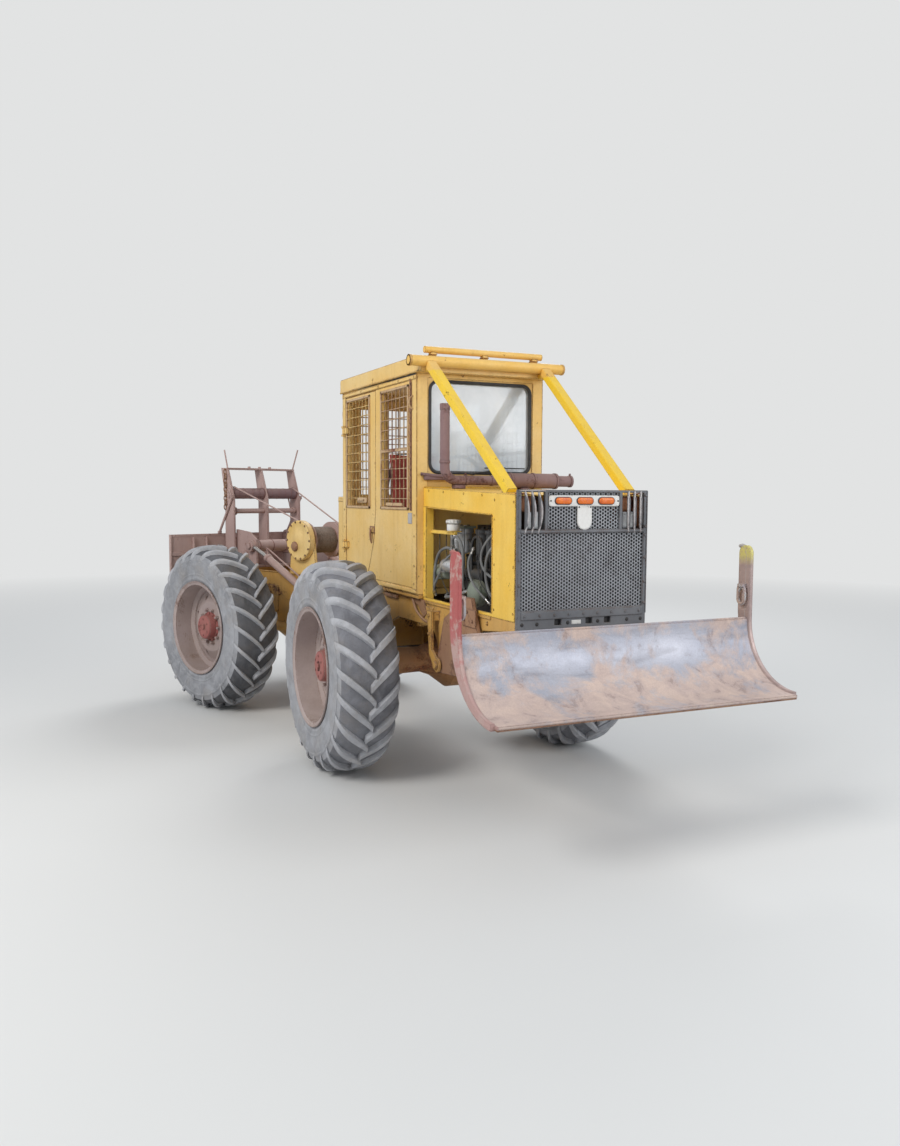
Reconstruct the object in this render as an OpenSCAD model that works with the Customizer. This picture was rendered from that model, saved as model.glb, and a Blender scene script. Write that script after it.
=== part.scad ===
// Articulated logging skidder with a front push blade, a rear winch, a rope arch and a rear log shield.
// The front frame carries the engine, the cab and the blade. The rear frame turns on two vertical pins behind the cab.
// Lengths are in millimetres. X points forward along the front frame, Y to its left, Z up from the ground.

/* [Layout] */
// Height of both axles above the ground, which is the tyre's outer radius
axle_z = 725; // [700:5:750]
// Front axle to the vertical steering pins
pivot_back = 1500; // [1480:5:1560]
// Steering pins to the rear axle
axle_back = 1220; // [1200:5:1300]
// Angle at which the rear frame stands parked, turned to the left
steer_rest = 20; // [-30:1:30]

/* [Wheels] */
// Tyre centre to the machine's middle
wheel_y = 900; // [890:5:960]
// Section width of a tyre
tyre_w = 430; // [400:5:440]
// Outer diameter of the rim's flanges
rim_flange_d = 820; // [800:5:840]
// Height of a tyre's lugs
lug_h = 36; // [25:1:45]
// Lugs on each half of a tyre
lug_count = 20; // [16:1:26]
// Width over the rim's flanges
rim_w = 400; // [380:5:410]
// Depth of the bolted disc behind the rim's outer edge
disc_in = 130; // [100:5:170]
// Radius of the wheel hub's drum
hub_r = 150; // [135:5:165]
// Radius of the spindle on which a wheel turns
spindle_r = 55; // [45:1:65]
// Half length of an axle housing over its end flanges
axle_hw = 554; // [540:2:560]

/* [Front frame] */
// Outer half width of the front frame and of the engine bay
bay_hw = 427; // [420:1:432]
// Thickness of a frame side plate
plate_t = 16; // [12:1:20]
// Top of the frame's side plates
frame_top = 1195; // [1185:1:1205]
// Front end of the engine bay
bay_front = 1667; // [1640:1:1700]
// Radius of the steering pins
pin_r = 40; // [30:1:50]
// Underside of the upper steering ear
ear_hi = 960; // [940:5:980]
// Top of the lower steering ear
ear_lo = 560; // [540:5:580]
// Thickness of the steering ears
ear_t = 45; // [30:1:50]
// Steering cylinder's front pin ahead of the steering pins
steer_front = 420; // [410:5:430]
// Steering cylinder's front pin from the middle
steer_front_y = 260; // [250:5:270]
// Steering cylinder's rear pin behind the steering pins
steer_rear = 240; // [235:5:250]
// Steering cylinder's rear pin from the middle
steer_rear_y = 180; // [175:5:190]
// Height of the steering cylinders
steer_z = 700; // [695:1:715]
// Height of the propeller shaft's joint between the frames
shaft_z = 815; // [800:1:830]

/* [Cab] */
// Outer half width of the cab
cab_hw = 475; // [470:1:485]
// Front face of the cab
cab_front = 382; // [370:1:390]
// Length of the cab
cab_len = 1534; // [1520:1:1540]
// Underside of the cab
cab_z0 = 1230; // [1225:1:1240]
// Top of the cab's walls
cab_z1 = 2700; // [2660:1:2720]
// Height of the roof over the walls
roof_h = 115; // [80:1:130]
// Height of the roof's raised middle over its edge
roof_lip = 8; // [5:1:15]
// Width of a cab pillar
pillar = 78; // [66:1:84]
// Thickness of the cab's doors and walls
wall = 36; // [24:1:40]
// Bottom of the side windows
sill_z = 1812; // [1800:1:1840]
// Parting line between the door and the fixed side panel
door_split = -400; // [-420:1:-390]
// Radius of the door hinge pins
hinge_r = 10; // [8:1:11]

/* [Engine bay] */
// Top of the engine bay at the cab
bay_top = 1945; // [1935:1:1955]
// Top of the engine bay at the grille
nose_top = 1900; // [1890:1:1910]
// Length of the closed front post
post_len = 283; // [260:1:300]
// Depth of the bay's top beam
beam_h = 125; // [110:1:140]
// Top of the grille guard
grille_top = 1928; // [1920:1:1940]
// Division between the guard's lower and upper fields
grille_split = 1700; // [1690:1:1710]
// Spacing of the holes in the perforated screens
hole_pitch = 48; // [40:1:60]
// Width of a screen's hole over its corners
hole_d = 34; // [20:1:36]

/* [Blade] */
// Half width of the blade over its end plates
blade_hw = 940; // [920:5:960]
// Radius of the blade's curved face
blade_r = 372; // [360:1:380]
// Thickness of the blade's plate
blade_t = 16; // [12:1:20]
// Front to back width of the end plates
end_plate_w = 95; // [80:1:105]
// Top of the upright horns
horn_z = 1615; // [1560:5:1640]
// Blade's lowest edge above the ground when carried
blade_z = 805; // [800:1:820]
// Rear tangent of the blade's curve ahead of the front axle
blade_x = 1988; // [1980:1:2010]
// Blade pivot ahead of the front axle
arm_pivot_x = 735; // [725:1:745]
// Blade pivot height
arm_pivot_z = 812; // [805:1:820]
// Inner face of an arm from the middle
arm_y = 440; // [438:1:446]
// Thickness of an arm
arm_t = 25; // [20:1:27]
// Radius of the blade pivot pins
arm_pin_r = 25; // [20:1:28]
// Lift cylinder from the middle
lift_y = 350; // [345:1:355]
// Lift cylinder's pin on the frame, ahead of the front axle
lift_x = 900; // [890:5:910]
// Lift cylinder's pin on the frame, height
lift_z = 1000; // [995:1:1005]
// Lift cylinder's pin on the blade, ahead of the front axle
lift_end_x = 1880; // [1870:5:1890]
// Lift cylinder's pin on the blade, height
lift_end_z = 960; // [955:1:965]

/* [Rear frame] */
// Outer half width of the rear frame
rear_hw = 316; // [310:1:320]
// Top of the rear frame's side plates
rear_top = 1180; // [1160:5:1190]
// Half width of the rear shield
shield_hw = 940; // [900:5:960]
// Top edge of the rear shield
shield_top = 1515; // [1470:5:1520]
// Rear shield behind the steering pins
shield_back = 1990; // [1980:5:2010]
// Half width of the rope arch
arch_hw = 390; // [380:1:400]
// Top of the rope arch
arch_top = 2135; // [2100:5:2150]
// Height of the arch's rope rollers
roller_z = 1905; // [1890:1:1915]
// Arch behind the steering pins
arch_back = 1800; // [1790:5:1810]
// Winch shaft behind the steering pins
winch_back = 715; // [700:5:730]
// Winch shaft height
winch_z = 1490; // [1480:1:1500]
// Radius of the winch's round end cover
winch_r = 178; // [165:1:190]
// Radius of the winch ropes
rope_r = 7; // [5:1:8]
// Ropes on the rollers from the middle
rope_y = 335; // [325:5:350]
// Radius of the hole in the arch's shackle lugs
shackle_r = 14; // [10:1:18]

/* [Hidden] */
$fn = 48;
fit = 0.3;      // gap between pieces that are bolted together round a curve
run = 0.08;     // radial clearance of a turning pin
clear = 6;      // gap between pieces that move past each other
eye_hw = 24;    // half width of a cylinder's eye
eye_r = 36;     // outer radius of a cylinder's eye
gland = 32;      // length of a cylinder's gland
eye_gap = 0.5;  // between an eye and the plates beside it
tyre_r = axle_z;
rim_r = rim_flange_d / 2;
bead_r = rim_r - 24;
inner_y = bay_hw - plate_t;
rear_in = rear_hw - plate_t;
cab_back = cab_front - cab_len;
frame_back = cab_back - 28;                 // rear end of the front frame's side plates
roof_z = cab_z1 + roof_h;
disc_z = rim_w / 2 - disc_in;               // disc's outer face from the tyre's centre plane
hub_end = wheel_y - axle_hw - clear;        // hub drum's inner face from the tyre's centre plane
nose_len = 300;                             // axle's middle to the end of its pinion nose
blade_cx = blade_x + blade_r + blade_t;     // axis of the blade's curve
blade_cz = blade_z + blade_r + blade_t;
bench_z = 640;                              // top of the lower knuckle between the steering ears
strap_y = arm_y + arm_t + 8;                // inner face of the strap that holds the blade pin's outer end

// Tyre rows from the tread's middle to the sidewall: [radius in a groove, its distance from the centre plane,
// radius on a lug, its distance from the centre plane, lead of the lug round the tyre in degrees]
tread = [
  [tyre_r - lug_h, 26, tyre_r, 26, 0],
  [tyre_r - lug_h - 12, tyre_w / 2 - 75, tyre_r - 10, tyre_w / 2 - 73, 11.5],
  [tyre_r - lug_h - 52, tyre_w / 2 - 24, tyre_r - 50, tyre_w / 2 - 12, 17.5],
  [tyre_r - 150, tyre_w / 2, tyre_r - 150, tyre_w / 2, 21]
];
lug_stations = [0, 0.3, 0.5, 0.8];          // lug's top and foot as shares of the lug pitch, the halves in turn
function station_angle(k) = -90 + (floor(k / 4) + lug_stations[k % 4]) * 360 / lug_count;

// Origin: under the middle of the parked machine's outline
shield_foot = shield_back + 120;
x_front = blade_cx + 30;
x_rear = -pivot_back - shield_foot * cos(steer_rest) - shield_hw * sin(abs(steer_rest));
turned_reach = max([for (k = [0:4:4 * lug_count - 1], p = tread)
  (axle_back - p[2] * cos(station_angle(k) + p[4])) * sin(abs(steer_rest)) + (wheel_y + p[3]) * cos(steer_rest)]);
straight_reach = wheel_y + tyre_w / 2;
origin_x = -(x_front + x_rear) / 2;
origin_y = sign(steer_rest) * (turned_reach - straight_reach) / 2;

// Places: the front frame is measured from the ground under its axle, the rear frame from the steering pins
module on_front() {
  translate([origin_x, origin_y, 0]) children();
}
module on_rear() {
  on_front() translate([-pivot_back, 0, 0]) rotate([0, 0, steer_rest]) children();
}
module both_sides() {
  children();
  mirror([0, 1, 0]) children();
}
// Axis-parallel block between two values on each axis
module box(x, y, z) {
  translate([x[0], y[0], z[0]]) cube([x[1] - x[0], y[1] - y[0], z[1] - z[0]]);
}
// The 2-D children stand in the XZ plane and reach from y0 to y1
module upright(y0, y1) {
  translate([0, y1, 0]) rotate([90, 0, 0]) linear_extrude(y1 - y0) children();
}
// A rod along Y
module cross_rod(r, y0, y1, x, z) {
  translate([x, y1, z]) rotate([90, 0, 0]) cylinder(r = r, h = y1 - y0);
}
// A straight round bar between two points
module bar_between(a, b, r) {
  d = b - a;
  len = norm(d);
  translate(a) rotate([0, acos(d[2] / len), atan2(d[1], d[0])]) cylinder(r = r, h = len);
}

// Wheels: drawn round Z with the outboard side up, then laid on their axle

module wheel_at(rear, side) {
  if (rear) on_rear() translate([-axle_back, side * wheel_y, axle_z]) rotate([side * -90, 0, 0]) children();
  else on_front() translate([0, side * wheel_y, axle_z]) rotate([side * -90, 0, 0]) children();
}
// Point of the tread at station k on row r of one half: the lugs of the two halves take turns
function tread_point(k, r, half) =
  let (on = (k % 4 < 2) == (half > 0), p = tread[r], a = station_angle(k) + p[4])
  on ? [p[2] * cos(a), p[2] * sin(a), half * p[3]] : [p[0] * cos(a), p[0] * sin(a), half * p[1]];
module tyre_body(side) {
  n = 4 * lug_count;
  m = 2 * lug_count;
  bead = (bead_r + fit) / cos(180 / m);
  bead_y = rim_w / 2 - 16;
  points = concat(
    [for (k = [0:n - 1], j = [0:7]) j < 4 ? tread_point(k, 3 - j, 1) : tread_point(k, j - 4, -1)],
    [for (half = [1, -1], b = [0:m - 1]) let (a = station_angle(2 * b) + tread[3][4])
      [bead * cos(a), bead * sin(a), half * bead_y]]
  );
  faces = concat(
    [for (k = [0:n - 1], j = [0:6], f = [0, 1]) let (q = (k + 1) % n)
      f == 0 ? [8 * k + j, 8 * k + j + 1, 8 * q + j + 1] : [8 * k + j, 8 * q + j + 1, 8 * q + j]],
    [for (b = [0:m - 1], f = [0:2]) let (k = 16 * b, q = 8 * ((2 * b + 2) % n), c = 8 * n, d = (b + 1) % m)
      f == 0 ? [c + b, k, k + 8] : f == 1 ? [c + b, k + 8, c + d] : [c + d, k + 8, q]],
    [for (b = [0:m - 1], f = [0:2])
      let (k = 16 * b + 7, q = 8 * ((2 * b + 2) % n) + 7, c = 8 * n + m, d = (b + 1) % m)
      f == 0 ? [c + b, k + 8, k] : f == 1 ? [c + b, c + d, k + 8] : [c + d, q, k + 8]],
    [for (b = [0:m - 1], f = [0, 1]) let (c = 8 * n, e = 8 * n + m, d = (b + 1) % m)
      f == 0 ? [c + b, c + d, e + d] : [c + b, e + d, e + b]]
  );
  color("dimgray") scale([1, -side, 1]) polyhedron(points = points, faces = faces);
}
module wheel_body() {
  hw = rim_w / 2;
  t = 9;
  color("rosybrown") {
    // Barrel with its flanges and drop centre
    rotate_extrude($fn = 96) polygon([
      [bead_r, -hw + 10], [rim_r, -hw], [rim_r, -hw - t], [bead_r - t, -hw],
      [bead_r - t, -60], [bead_r - 50, -40], [bead_r - 50, 30], [bead_r - t, 50],
      [bead_r - t, hw], [rim_r, hw + t], [rim_r, hw], [bead_r, hw - 10],
      [bead_r, 45], [bead_r - 38, 26], [bead_r - 38, -36], [bead_r, -55]
    ]);
    // Disc, dished from the drop centre out to the hub, with its hand holes
    difference() {
      rotate_extrude($fn = 96) polygon([
        [hub_r - 30, disc_z - 14], [215, disc_z - 14], [300, disc_z - 60], [bead_r - 45, disc_z - 66],
        [bead_r - 45, disc_z - 52], [302, disc_z - 46], [222, disc_z], [hub_r - 30, disc_z]
      ]);
      for (a = [0:45:315]) rotate([0, 0, a + 22.5]) translate([262, 0, disc_z - 90]) cylinder(r = 16, h = 120);
    }
    // Hub drum with its spindle bore, and the planetary cover
    difference() {
      union() {
        translate([0, 0, -hub_end]) cylinder(r = hub_r, h = hub_end + disc_z - 10);
        translate([0, 0, disc_z - 14]) cylinder(r = 104, h = 14 + 62);
        translate([0, 0, disc_z + 60]) cylinder(r1 = 98, r2 = 86, h = 14);
      }
      translate([0, 0, -hub_end - 1]) cylinder(r = spindle_r + run, h = hub_end + 30);
    }
    for (a = [0:36:324]) rotate([0, 0, a]) translate([150, 0, disc_z - 2]) cylinder(r = 13, h = 26, $fn = 6);
  }
}
module tyre_front_right() { wheel_at(false, -1) tyre_body(-1); }
module tyre_front_left() { wheel_at(false, 1) tyre_body(1); }
module tyre_rear_right() { wheel_at(true, -1) tyre_body(-1); }
module tyre_rear_left() { wheel_at(true, 1) tyre_body(1); }
module wheel_front_right() { wheel_at(false, -1) wheel_body(); }
module wheel_front_left() { wheel_at(false, 1) wheel_body(); }
module wheel_rear_right() { wheel_at(true, -1) wheel_body(); }
module wheel_rear_left() { wheel_at(true, 1) wheel_body(); }

// Axles: housing with a round differential, tapered arms, end flanges, spindles and a pinion nose

module axle_body(nose) {
  color("goldenrod") {
    rotate([90, 0, 0]) rotate_extrude() polygon([
      [0, -axle_hw], [150, -axle_hw], [150, -axle_hw + 24], [96, -axle_hw + 34], [90, -300], [120, -220],
      [210, -100], [210, 100], [120, 220], [90, 300], [96, axle_hw - 34], [150, axle_hw - 24],
      [150, axle_hw], [0, axle_hw]
    ]);
    both_sides() cross_rod(spindle_r, axle_hw - 1, wheel_y + 20, 0, 0);
    rotate([0, nose * 90, 0]) cylinder(r = 86, h = nose_len);
  }
}
module front_axle() {
  on_front() translate([0, 0, axle_z]) {
    axle_body(-1);
    // Trunnion on which the axle rocks
    color("goldenrod") translate([-60, 0, 0]) rotate([0, 90, 0]) cylinder(r = 60, h = 380);
  }
}
module rear_axle() {
  on_rear() {
    translate([-axle_back, 0, axle_z]) axle_body(1);
    // Propeller shaft up to the joint between the frames
    color("dimgray") bar_between([-axle_back + nose_len - 5, 0, axle_z], [-46, 0, shaft_z], 30);
  }
}

// Front frame

// Outline of a side plate: arched over the axle, with a lug for the blade pin
module frame_outline() {
  polygon([
    [frame_back, frame_top], [bay_front, frame_top], [bay_front, 1140], [1400, 1112], [1240, 1095], [1010, 935],
    [850, 925], [arm_pivot_x + 50, arm_pivot_z - 20], [arm_pivot_x + 20, arm_pivot_z - 55],
    [arm_pivot_x - 40, arm_pivot_z - 50], [600, 960], [540, 1030], [-60, 1030], [-330, 940], [-400, 700],
    [frame_back, 700]
  ]);
}
module front_frame() {
  on_front() color("gold") {
    both_sides() {
      upright(inner_y, bay_hw) frame_outline();
      // Blade pin, and the strap that holds its outer end
      cross_rod(arm_pin_r, bay_hw - 5, strap_y + 20, arm_pivot_x, arm_pivot_z);
      upright(strap_y, strap_y + 16) difference() {
        union() {
          polygon([[585, 1150], [655, 1150], [665, 900], [arm_pivot_x + 20, arm_pivot_z + 30],
            [arm_pivot_x - 30, arm_pivot_z - 36], [620, 870]]);
          translate([arm_pivot_x, arm_pivot_z]) circle(r = 46);
        }
        translate([arm_pivot_x, arm_pivot_z]) circle(r = arm_pin_r - 1);
      }
      box([590, 650], [bay_hw, strap_y + 1], [1085, 1145]);
      // Stub pin of the lift cylinder with its collars
      cross_rod(arm_pin_r, lift_y - eye_hw - 8, inner_y + 5, lift_x, lift_z);
      cross_rod(eye_r, lift_y + eye_hw + eye_gap, inner_y + 5, lift_x, lift_z);
      cross_rod(eye_r, lift_y - eye_hw - eye_gap - 10, lift_y - eye_hw - eye_gap, lift_x, lift_z);
      // Cab mounts
      for (x = [cab_back + 12, cab_front - 72]) box([x, x + 60], [inner_y - 20, bay_hw], [frame_top, cab_z0]);
    }
    // Radiator shelf and cross members
    box([1430, bay_front], [-inner_y, inner_y], [1165, frame_top]);
    box([600, 640], [-inner_y, inner_y], [960, 1028]);
    box([-419, -403], [-inner_y, inner_y], [760, 1100]);
    for (x = [[240, 280], [-290, -250]]) box(x, [-inner_y, inner_y], [1000, 1100]);
    // Axle hangers, bored for the trunnion and for the pinion nose
    difference() {
      box([240, 280], [-150, 150], [640, 1040]);
      translate([230, 0, axle_z]) rotate([0, 90, 0]) cylinder(r = 60 + fit, h = 60);
    }
    difference() {
      box([-290, -250], [-150, 150], [620, 1040]);
      translate([-300, 0, axle_z]) rotate([0, 90, 0]) cylinder(r = 86 + fit, h = 60);
    }
    // Rear bulkhead with windows for the steering cylinders
    difference() {
      box([frame_back, frame_back + 30], [-inner_y, inner_y], [ear_lo - ear_t, frame_top]);
      both_sides() box([frame_back - 10, frame_back + 40], [steer_front_y - 95, steer_front_y + 75],
        [steer_z - 75, steer_z + 75]);
      box([frame_back - 10, frame_back + 40], [-90, 90], [shaft_z - 60, shaft_z + 60]);
    }
    // Steering ears and their pins
    for (z = [ear_hi, ear_lo - ear_t]) hull() {
      translate([-pivot_back, 0, z]) cylinder(r = 95, h = ear_t, $fn = 32);
      box([frame_back - 20, frame_back + 15], [-230, 230], [z, z + ear_t]);
    }
    translate([-pivot_back, 0, ear_lo - 10]) cylinder(r = pin_r, h = bench_z - ear_lo + 20);
    translate([-pivot_back, 0, ear_hi - 84]) cylinder(r = pin_r, h = 94);
    // Forks and pins of the steering cylinders
    both_sides() {
      for (s = [-1, 1]) {
        z0 = steer_z + s * (eye_hw + eye_gap) - (s < 0 ? 12 : 0);
        translate([-pivot_back + steer_front, steer_front_y, z0]) cylinder(r = eye_r, h = 12);
        box([-pivot_back + steer_front - eye_r, -pivot_back + steer_front + eye_r], [steer_front_y, inner_y + 1],
          [z0, z0 + 12]);
      }
      translate([-pivot_back + steer_front, steer_front_y, steer_z - 40]) cylinder(r = 20, h = 80);
    }
  }
}

module gearbox() {
  on_front() color("darkgoldenrod") {
    box([-720, 420], [-190, 190], [1100, 1215]);
    box([-900, -419], [-200, 200], [680, 1120]);
    both_sides() box([-720, -620], [199, inner_y], [1080, 1110]);
    translate([-1, 0, axle_z]) rotate([0, -90, 0]) translate([0, 0, nose_len]) cylinder(r = 30, h = 125);
    // Propeller shaft and its joint between the frames
    translate([-890, 0, shaft_z]) rotate([0, -90, 0]) cylinder(r = 60, h = 70);
    translate([-950, 0, shaft_z]) rotate([0, -90, 0]) cylinder(r = 30, h = pivot_back - 950);
    translate([-pivot_back, 0, shaft_z]) sphere(r = 44);
  }
}

// Engine: block of the real size with its sump, head, covers, manifold, pump, filters, fan and bell housing
module rod_x(r, x0, x1, y, z) {
  translate([x0, y, z]) rotate([0, 90, 0]) cylinder(r = r, h = x1 - x0);
}
// Hose in a loop between two unions on the block: half a ring on two legs, with a ferrule at each end of the ring
module hose_loop(x0, x1, y, z, z0, z1) {
  r = (x1 - x0) / 2;
  translate([x0 + r, y, z]) rotate([90, 0, 0]) rotate_extrude(angle = 180) translate([r, 0]) circle(r = 9);
  for (e = [[x0, z0], [x1, z1]]) {
    translate([e[0], y, z - 24]) cylinder(r = 13, h = 32);
    translate([e[0], y, e[1] - 4]) cylinder(r = 9, h = z - e[1]);
    cross_rod(15, y - 14, -149, e[0], e[1]);
  }
}
module engine() {
  on_front() color("slategray") {
    box([470, 1330], [-150, 150], [1030, 1500]);
    box([520, 1280], [-168, 168], [1080, 1230]);
    box([690, 1240], [-130, 130], [900, 1031]);
    box([500, 1300], [-120, 120], [1500, 1640]);
    for (i = [0:3]) box([515 + i * 195, 690 + i * 195], [-90, 90], [1640, 1700]);
    rod_x(200, 420, 471, 0, 1250);
    both_sides() box([700, 1000], [150, inner_y], [1120, 1150]);
    // Fan, its pulley and the crank's pulley
    translate([1330, 0, 1520]) rotate([0, 90, 0]) {
      cylinder(r = 60, h = 80);
      for (a = [0:60:300]) rotate([0, 0, a]) translate([48, -24, 40]) cube([222, 48, 8]);
    }
    rod_x(88, 1329, 1350, 0, 1520);
    rod_x(62, 1329, 1339, 0, 1228);
    // Exhaust manifold on the left, with its riser
    rod_x(32, 540, 1280, 165, 1575);
    for (x = [600, 800, 1000, 1200]) cross_rod(24, 119, 165, x, 1575);
    translate([640, 178, 1560]) cylinder(r = 36, h = 350);
    // Alternator on the left, starter and injection pump on the right
    rod_x(62, 1130, 1300, 205, 1400);
    rod_x(48, 560, 760, -195, 1300);
    box([800, 1060], [-205, -149], [1330, 1430]);
    for (i = [0:3]) translate([840 + i * 60, -180, 1429]) cylinder(r = 11, h = 46);
    // Round hydraulic filter in front and the canister behind it
    cross_rod(58, -282, -167, 1140, 1185);
    rod_x(44, 770, 930, -240, 1385);
    box([800, 840], [-240, -204], [1360, 1410]);
    // Fuel filters on their bracket, air cleaner and water outlet
    for (x = [880, 1010]) {
      box([x - 20, x + 20], [-230, -119], [1600, 1622]);
      translate([x, -230, 1525]) cylinder(r = 42, h = 135);
      translate([x, -230, 1655]) cylinder(r = 50, h = 26);
      translate([x, -230, 1680]) cylinder(r = 14, h = 16);
    }
    // Air cleaner with its pipes, and hose loops
    translate([800, 0, 1690]) cylinder(r = 40, h = 60);
    rod_x(85, 700, 1120, 0, 1800);
    rod_x(60, 1119, 1160, 0, 1800);
    translate([1250, -60, 1639]) cylinder(r = 36, h = 210);
    rod_x(27, 1249, 1469.7, -60, 1822);
    hose_loop(600, 780, -262, 1530, 1350, 1465);
    hose_loop(790, 940, -268, 1560, 1290, 1255);
    hose_loop(470, 590, -255, 1470, 1250, 1180);
  }
}

module radiator() {
  on_front() color("dimgray") {
    box([1484, 1546], [-322, 322], [frame_top + 60, 1790]);
    box([1470, 1560], [-330, 330], [frame_top, frame_top + 62]);
    box([1470, 1560], [-330, 330], [1788, 1860]);
    both_sides() {
      box([1474, 1556], [321, 332], [frame_top + 40, 1800]);
      box([1480, 1550], [329, 372], [frame_top, frame_top + 40]);
    }
    translate([1515, 120, 1859]) cylinder(r = 34, h = 20);
  }
}

// Hood: top plate, side beams and closed front posts over the open engine bay
module hood() {
  gap = [cab_front + 50, bay_front - post_len];
  on_front() color("gold") {
    both_sides() upright(bay_hw - 8, bay_hw) difference() {
      polygon([[cab_front, frame_top], [bay_front, frame_top], [bay_front, nose_top], [cab_front, bay_top]]);
      polygon([[gap[0], frame_top + 20], [gap[1], frame_top + 20], [gap[1], nose_top - beam_h + 8],
        [gap[0], bay_top - beam_h]]);
    }
    upright(-bay_hw + 7, bay_hw - 7) polygon([[cab_front, bay_top], [bay_front, nose_top], [bay_front, nose_top - 6],
      [cab_front, bay_top - 6]]);
    // Returned edges round the openings
    both_sides() {
      box([gap[1], gap[1] + 6], [bay_hw - 55, bay_hw - 7], [frame_top + 1, nose_top - 6]);
      box([gap[0] - 6, gap[0]], [bay_hw - 55, bay_hw - 7], [frame_top + 1, bay_top - 12]);
      box([cab_front, bay_front], [bay_hw - 55, bay_hw - 7], [frame_top, frame_top + 6]);
      upright(bay_hw - 55, bay_hw - 7) polygon([[gap[0], bay_top - beam_h], [gap[1], nose_top - beam_h + 8],
        [gap[1], nose_top - beam_h + 14], [gap[0], bay_top - beam_h + 6]]);
    }
  }
}

// Grille guard: framed lower field and upper middle field, with curved bars in front of the lamps
lower = [1258, grille_split - 14];
upper = [grille_split + 8, grille_top - 14];
lamp_y = 236;                               // inner edge of the lamp recesses
// Plate between two values of Y and Z with staggered six-sided holes
module screen(y, z) {
  dz = hole_pitch * sqrt(3) / 2;
  n = floor((z[1] - z[0] - hole_d - 16) / dz);
  m = floor((y[1] - y[0] - hole_d - 16) / hole_pitch);
  translate([bay_front + 8, (y[0] + y[1]) / 2, (z[0] + z[1]) / 2]) rotate([90, 0, 90]) linear_extrude(4) difference() {
    square([y[1] - y[0], z[1] - z[0]], center = true);
    for (j = [0:n], i = [0:m - j % 2])
      translate([(i - (m - j % 2) / 2) * hole_pitch, (j - n / 2) * dz]) circle(d = hole_d, $fn = 6);
  }
}
module grille_screen() {
  on_front() color("gray") {
    screen([-bay_hw + 22 + fit, bay_hw - 22 - fit], [lower[0] + fit, lower[1] - fit]);
    screen([-lamp_y + fit, lamp_y - fit], [upper[0] + fit, upper[1] - fit]);
  }
}
module grille_guard() {
  x0 = bay_front;
  on_front() color("slategray") {
    difference() {
      box([x0, x0 + 20], [-bay_hw, bay_hw], [1150, grille_top]);
      box([x0 - 1, x0 + 21], [-bay_hw + 22, bay_hw - 22], lower);
      box([x0 - 1, x0 + 21], [-bay_hw + 22, bay_hw - 22], upper);
      for (y = [-165, 40, 165]) box([x0 - 1, x0 + 21], [y - 22, y + 22], [1170, 1206]);
    }
    both_sides() {
      box([x0, x0 + 20], [lamp_y, lamp_y + 20], [upper[0] - 1, upper[1] + 1]);
      for (y = [290, 332, 374]) upright(y, y + 10) difference() {
        hull() {
          translate([x0 + 12, grille_split + 40]) circle(r = 26, $fn = 32);
          translate([x0 + 12, upper[1] - 45]) circle(r = 26, $fn = 32);
          translate([x0 + 16, grille_split - 10]) square([4, 10]);
          translate([x0 + 16, upper[1]]) square([4, 10]);
        }
        translate([x0 - 40, grille_split - 60]) square([56, 400]);
      }
    }
  }
}
module headlamps() {
  on_front() color("whitesmoke") both_sides() {
    box([bay_front - 70, bay_front - 5], [262, 392], [1712, 1812]);
    box([bay_front - 50, bay_front - 20], [275, bay_hw - 8], [1690, 1712]);
  }
}
module marker_panel() {
  x0 = bay_front + 20;
  on_front() {
    color("white") {
      box([x0, x0 + 5], [-232, 232], [1836, 1898]);
      box([x0, x0 + 5], [-48, 48], [1752, 1837]);
      translate([x0, 0, 1752]) rotate([0, 90, 0]) cylinder(r = 48, h = 5);
      for (y = [-205, 205]) rod_x(9, x0 - 8 + fit, x0 + 1, y, 1867);
    }
    color("orange") for (y = [-142, 0, 142]) {
      for (s = [-1, 1]) translate([x0 + 5, y + s * 32, 1867]) rotate([0, 90, 0]) cylinder(r = 19, h = 14);
      box([x0 + 5, x0 + 19], [y - 32, y + 32], [1848, 1886]);
    }
  }
}

// Exhaust: silencer across the hood, pipe to the right and up in front of the windscreen
module exhaust() {
  z = bay_top + 48;
  pipe_x = 640;
  on_front() color("rosybrown") {
    cross_rod(34, -390, 30, pipe_x, z);
    cross_rod(50, 20, 560, pipe_x, z);
    translate([pipe_x, 559, z]) rotate([-90, 0, 0]) cylinder(r1 = 50, r2 = 34, h = 40);
    translate([pipe_x, -390, z]) sphere(r = 38);
    translate([pipe_x, -390, z]) cylinder(r = 30, h = 485);
    translate([pipe_x, 180, bay_top - (bay_top - nose_top) * (pipe_x - 40 - cab_front) / (bay_front - cab_front)])
      cylinder(r = 40, h = 50);
  }
}

// Cab

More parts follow.
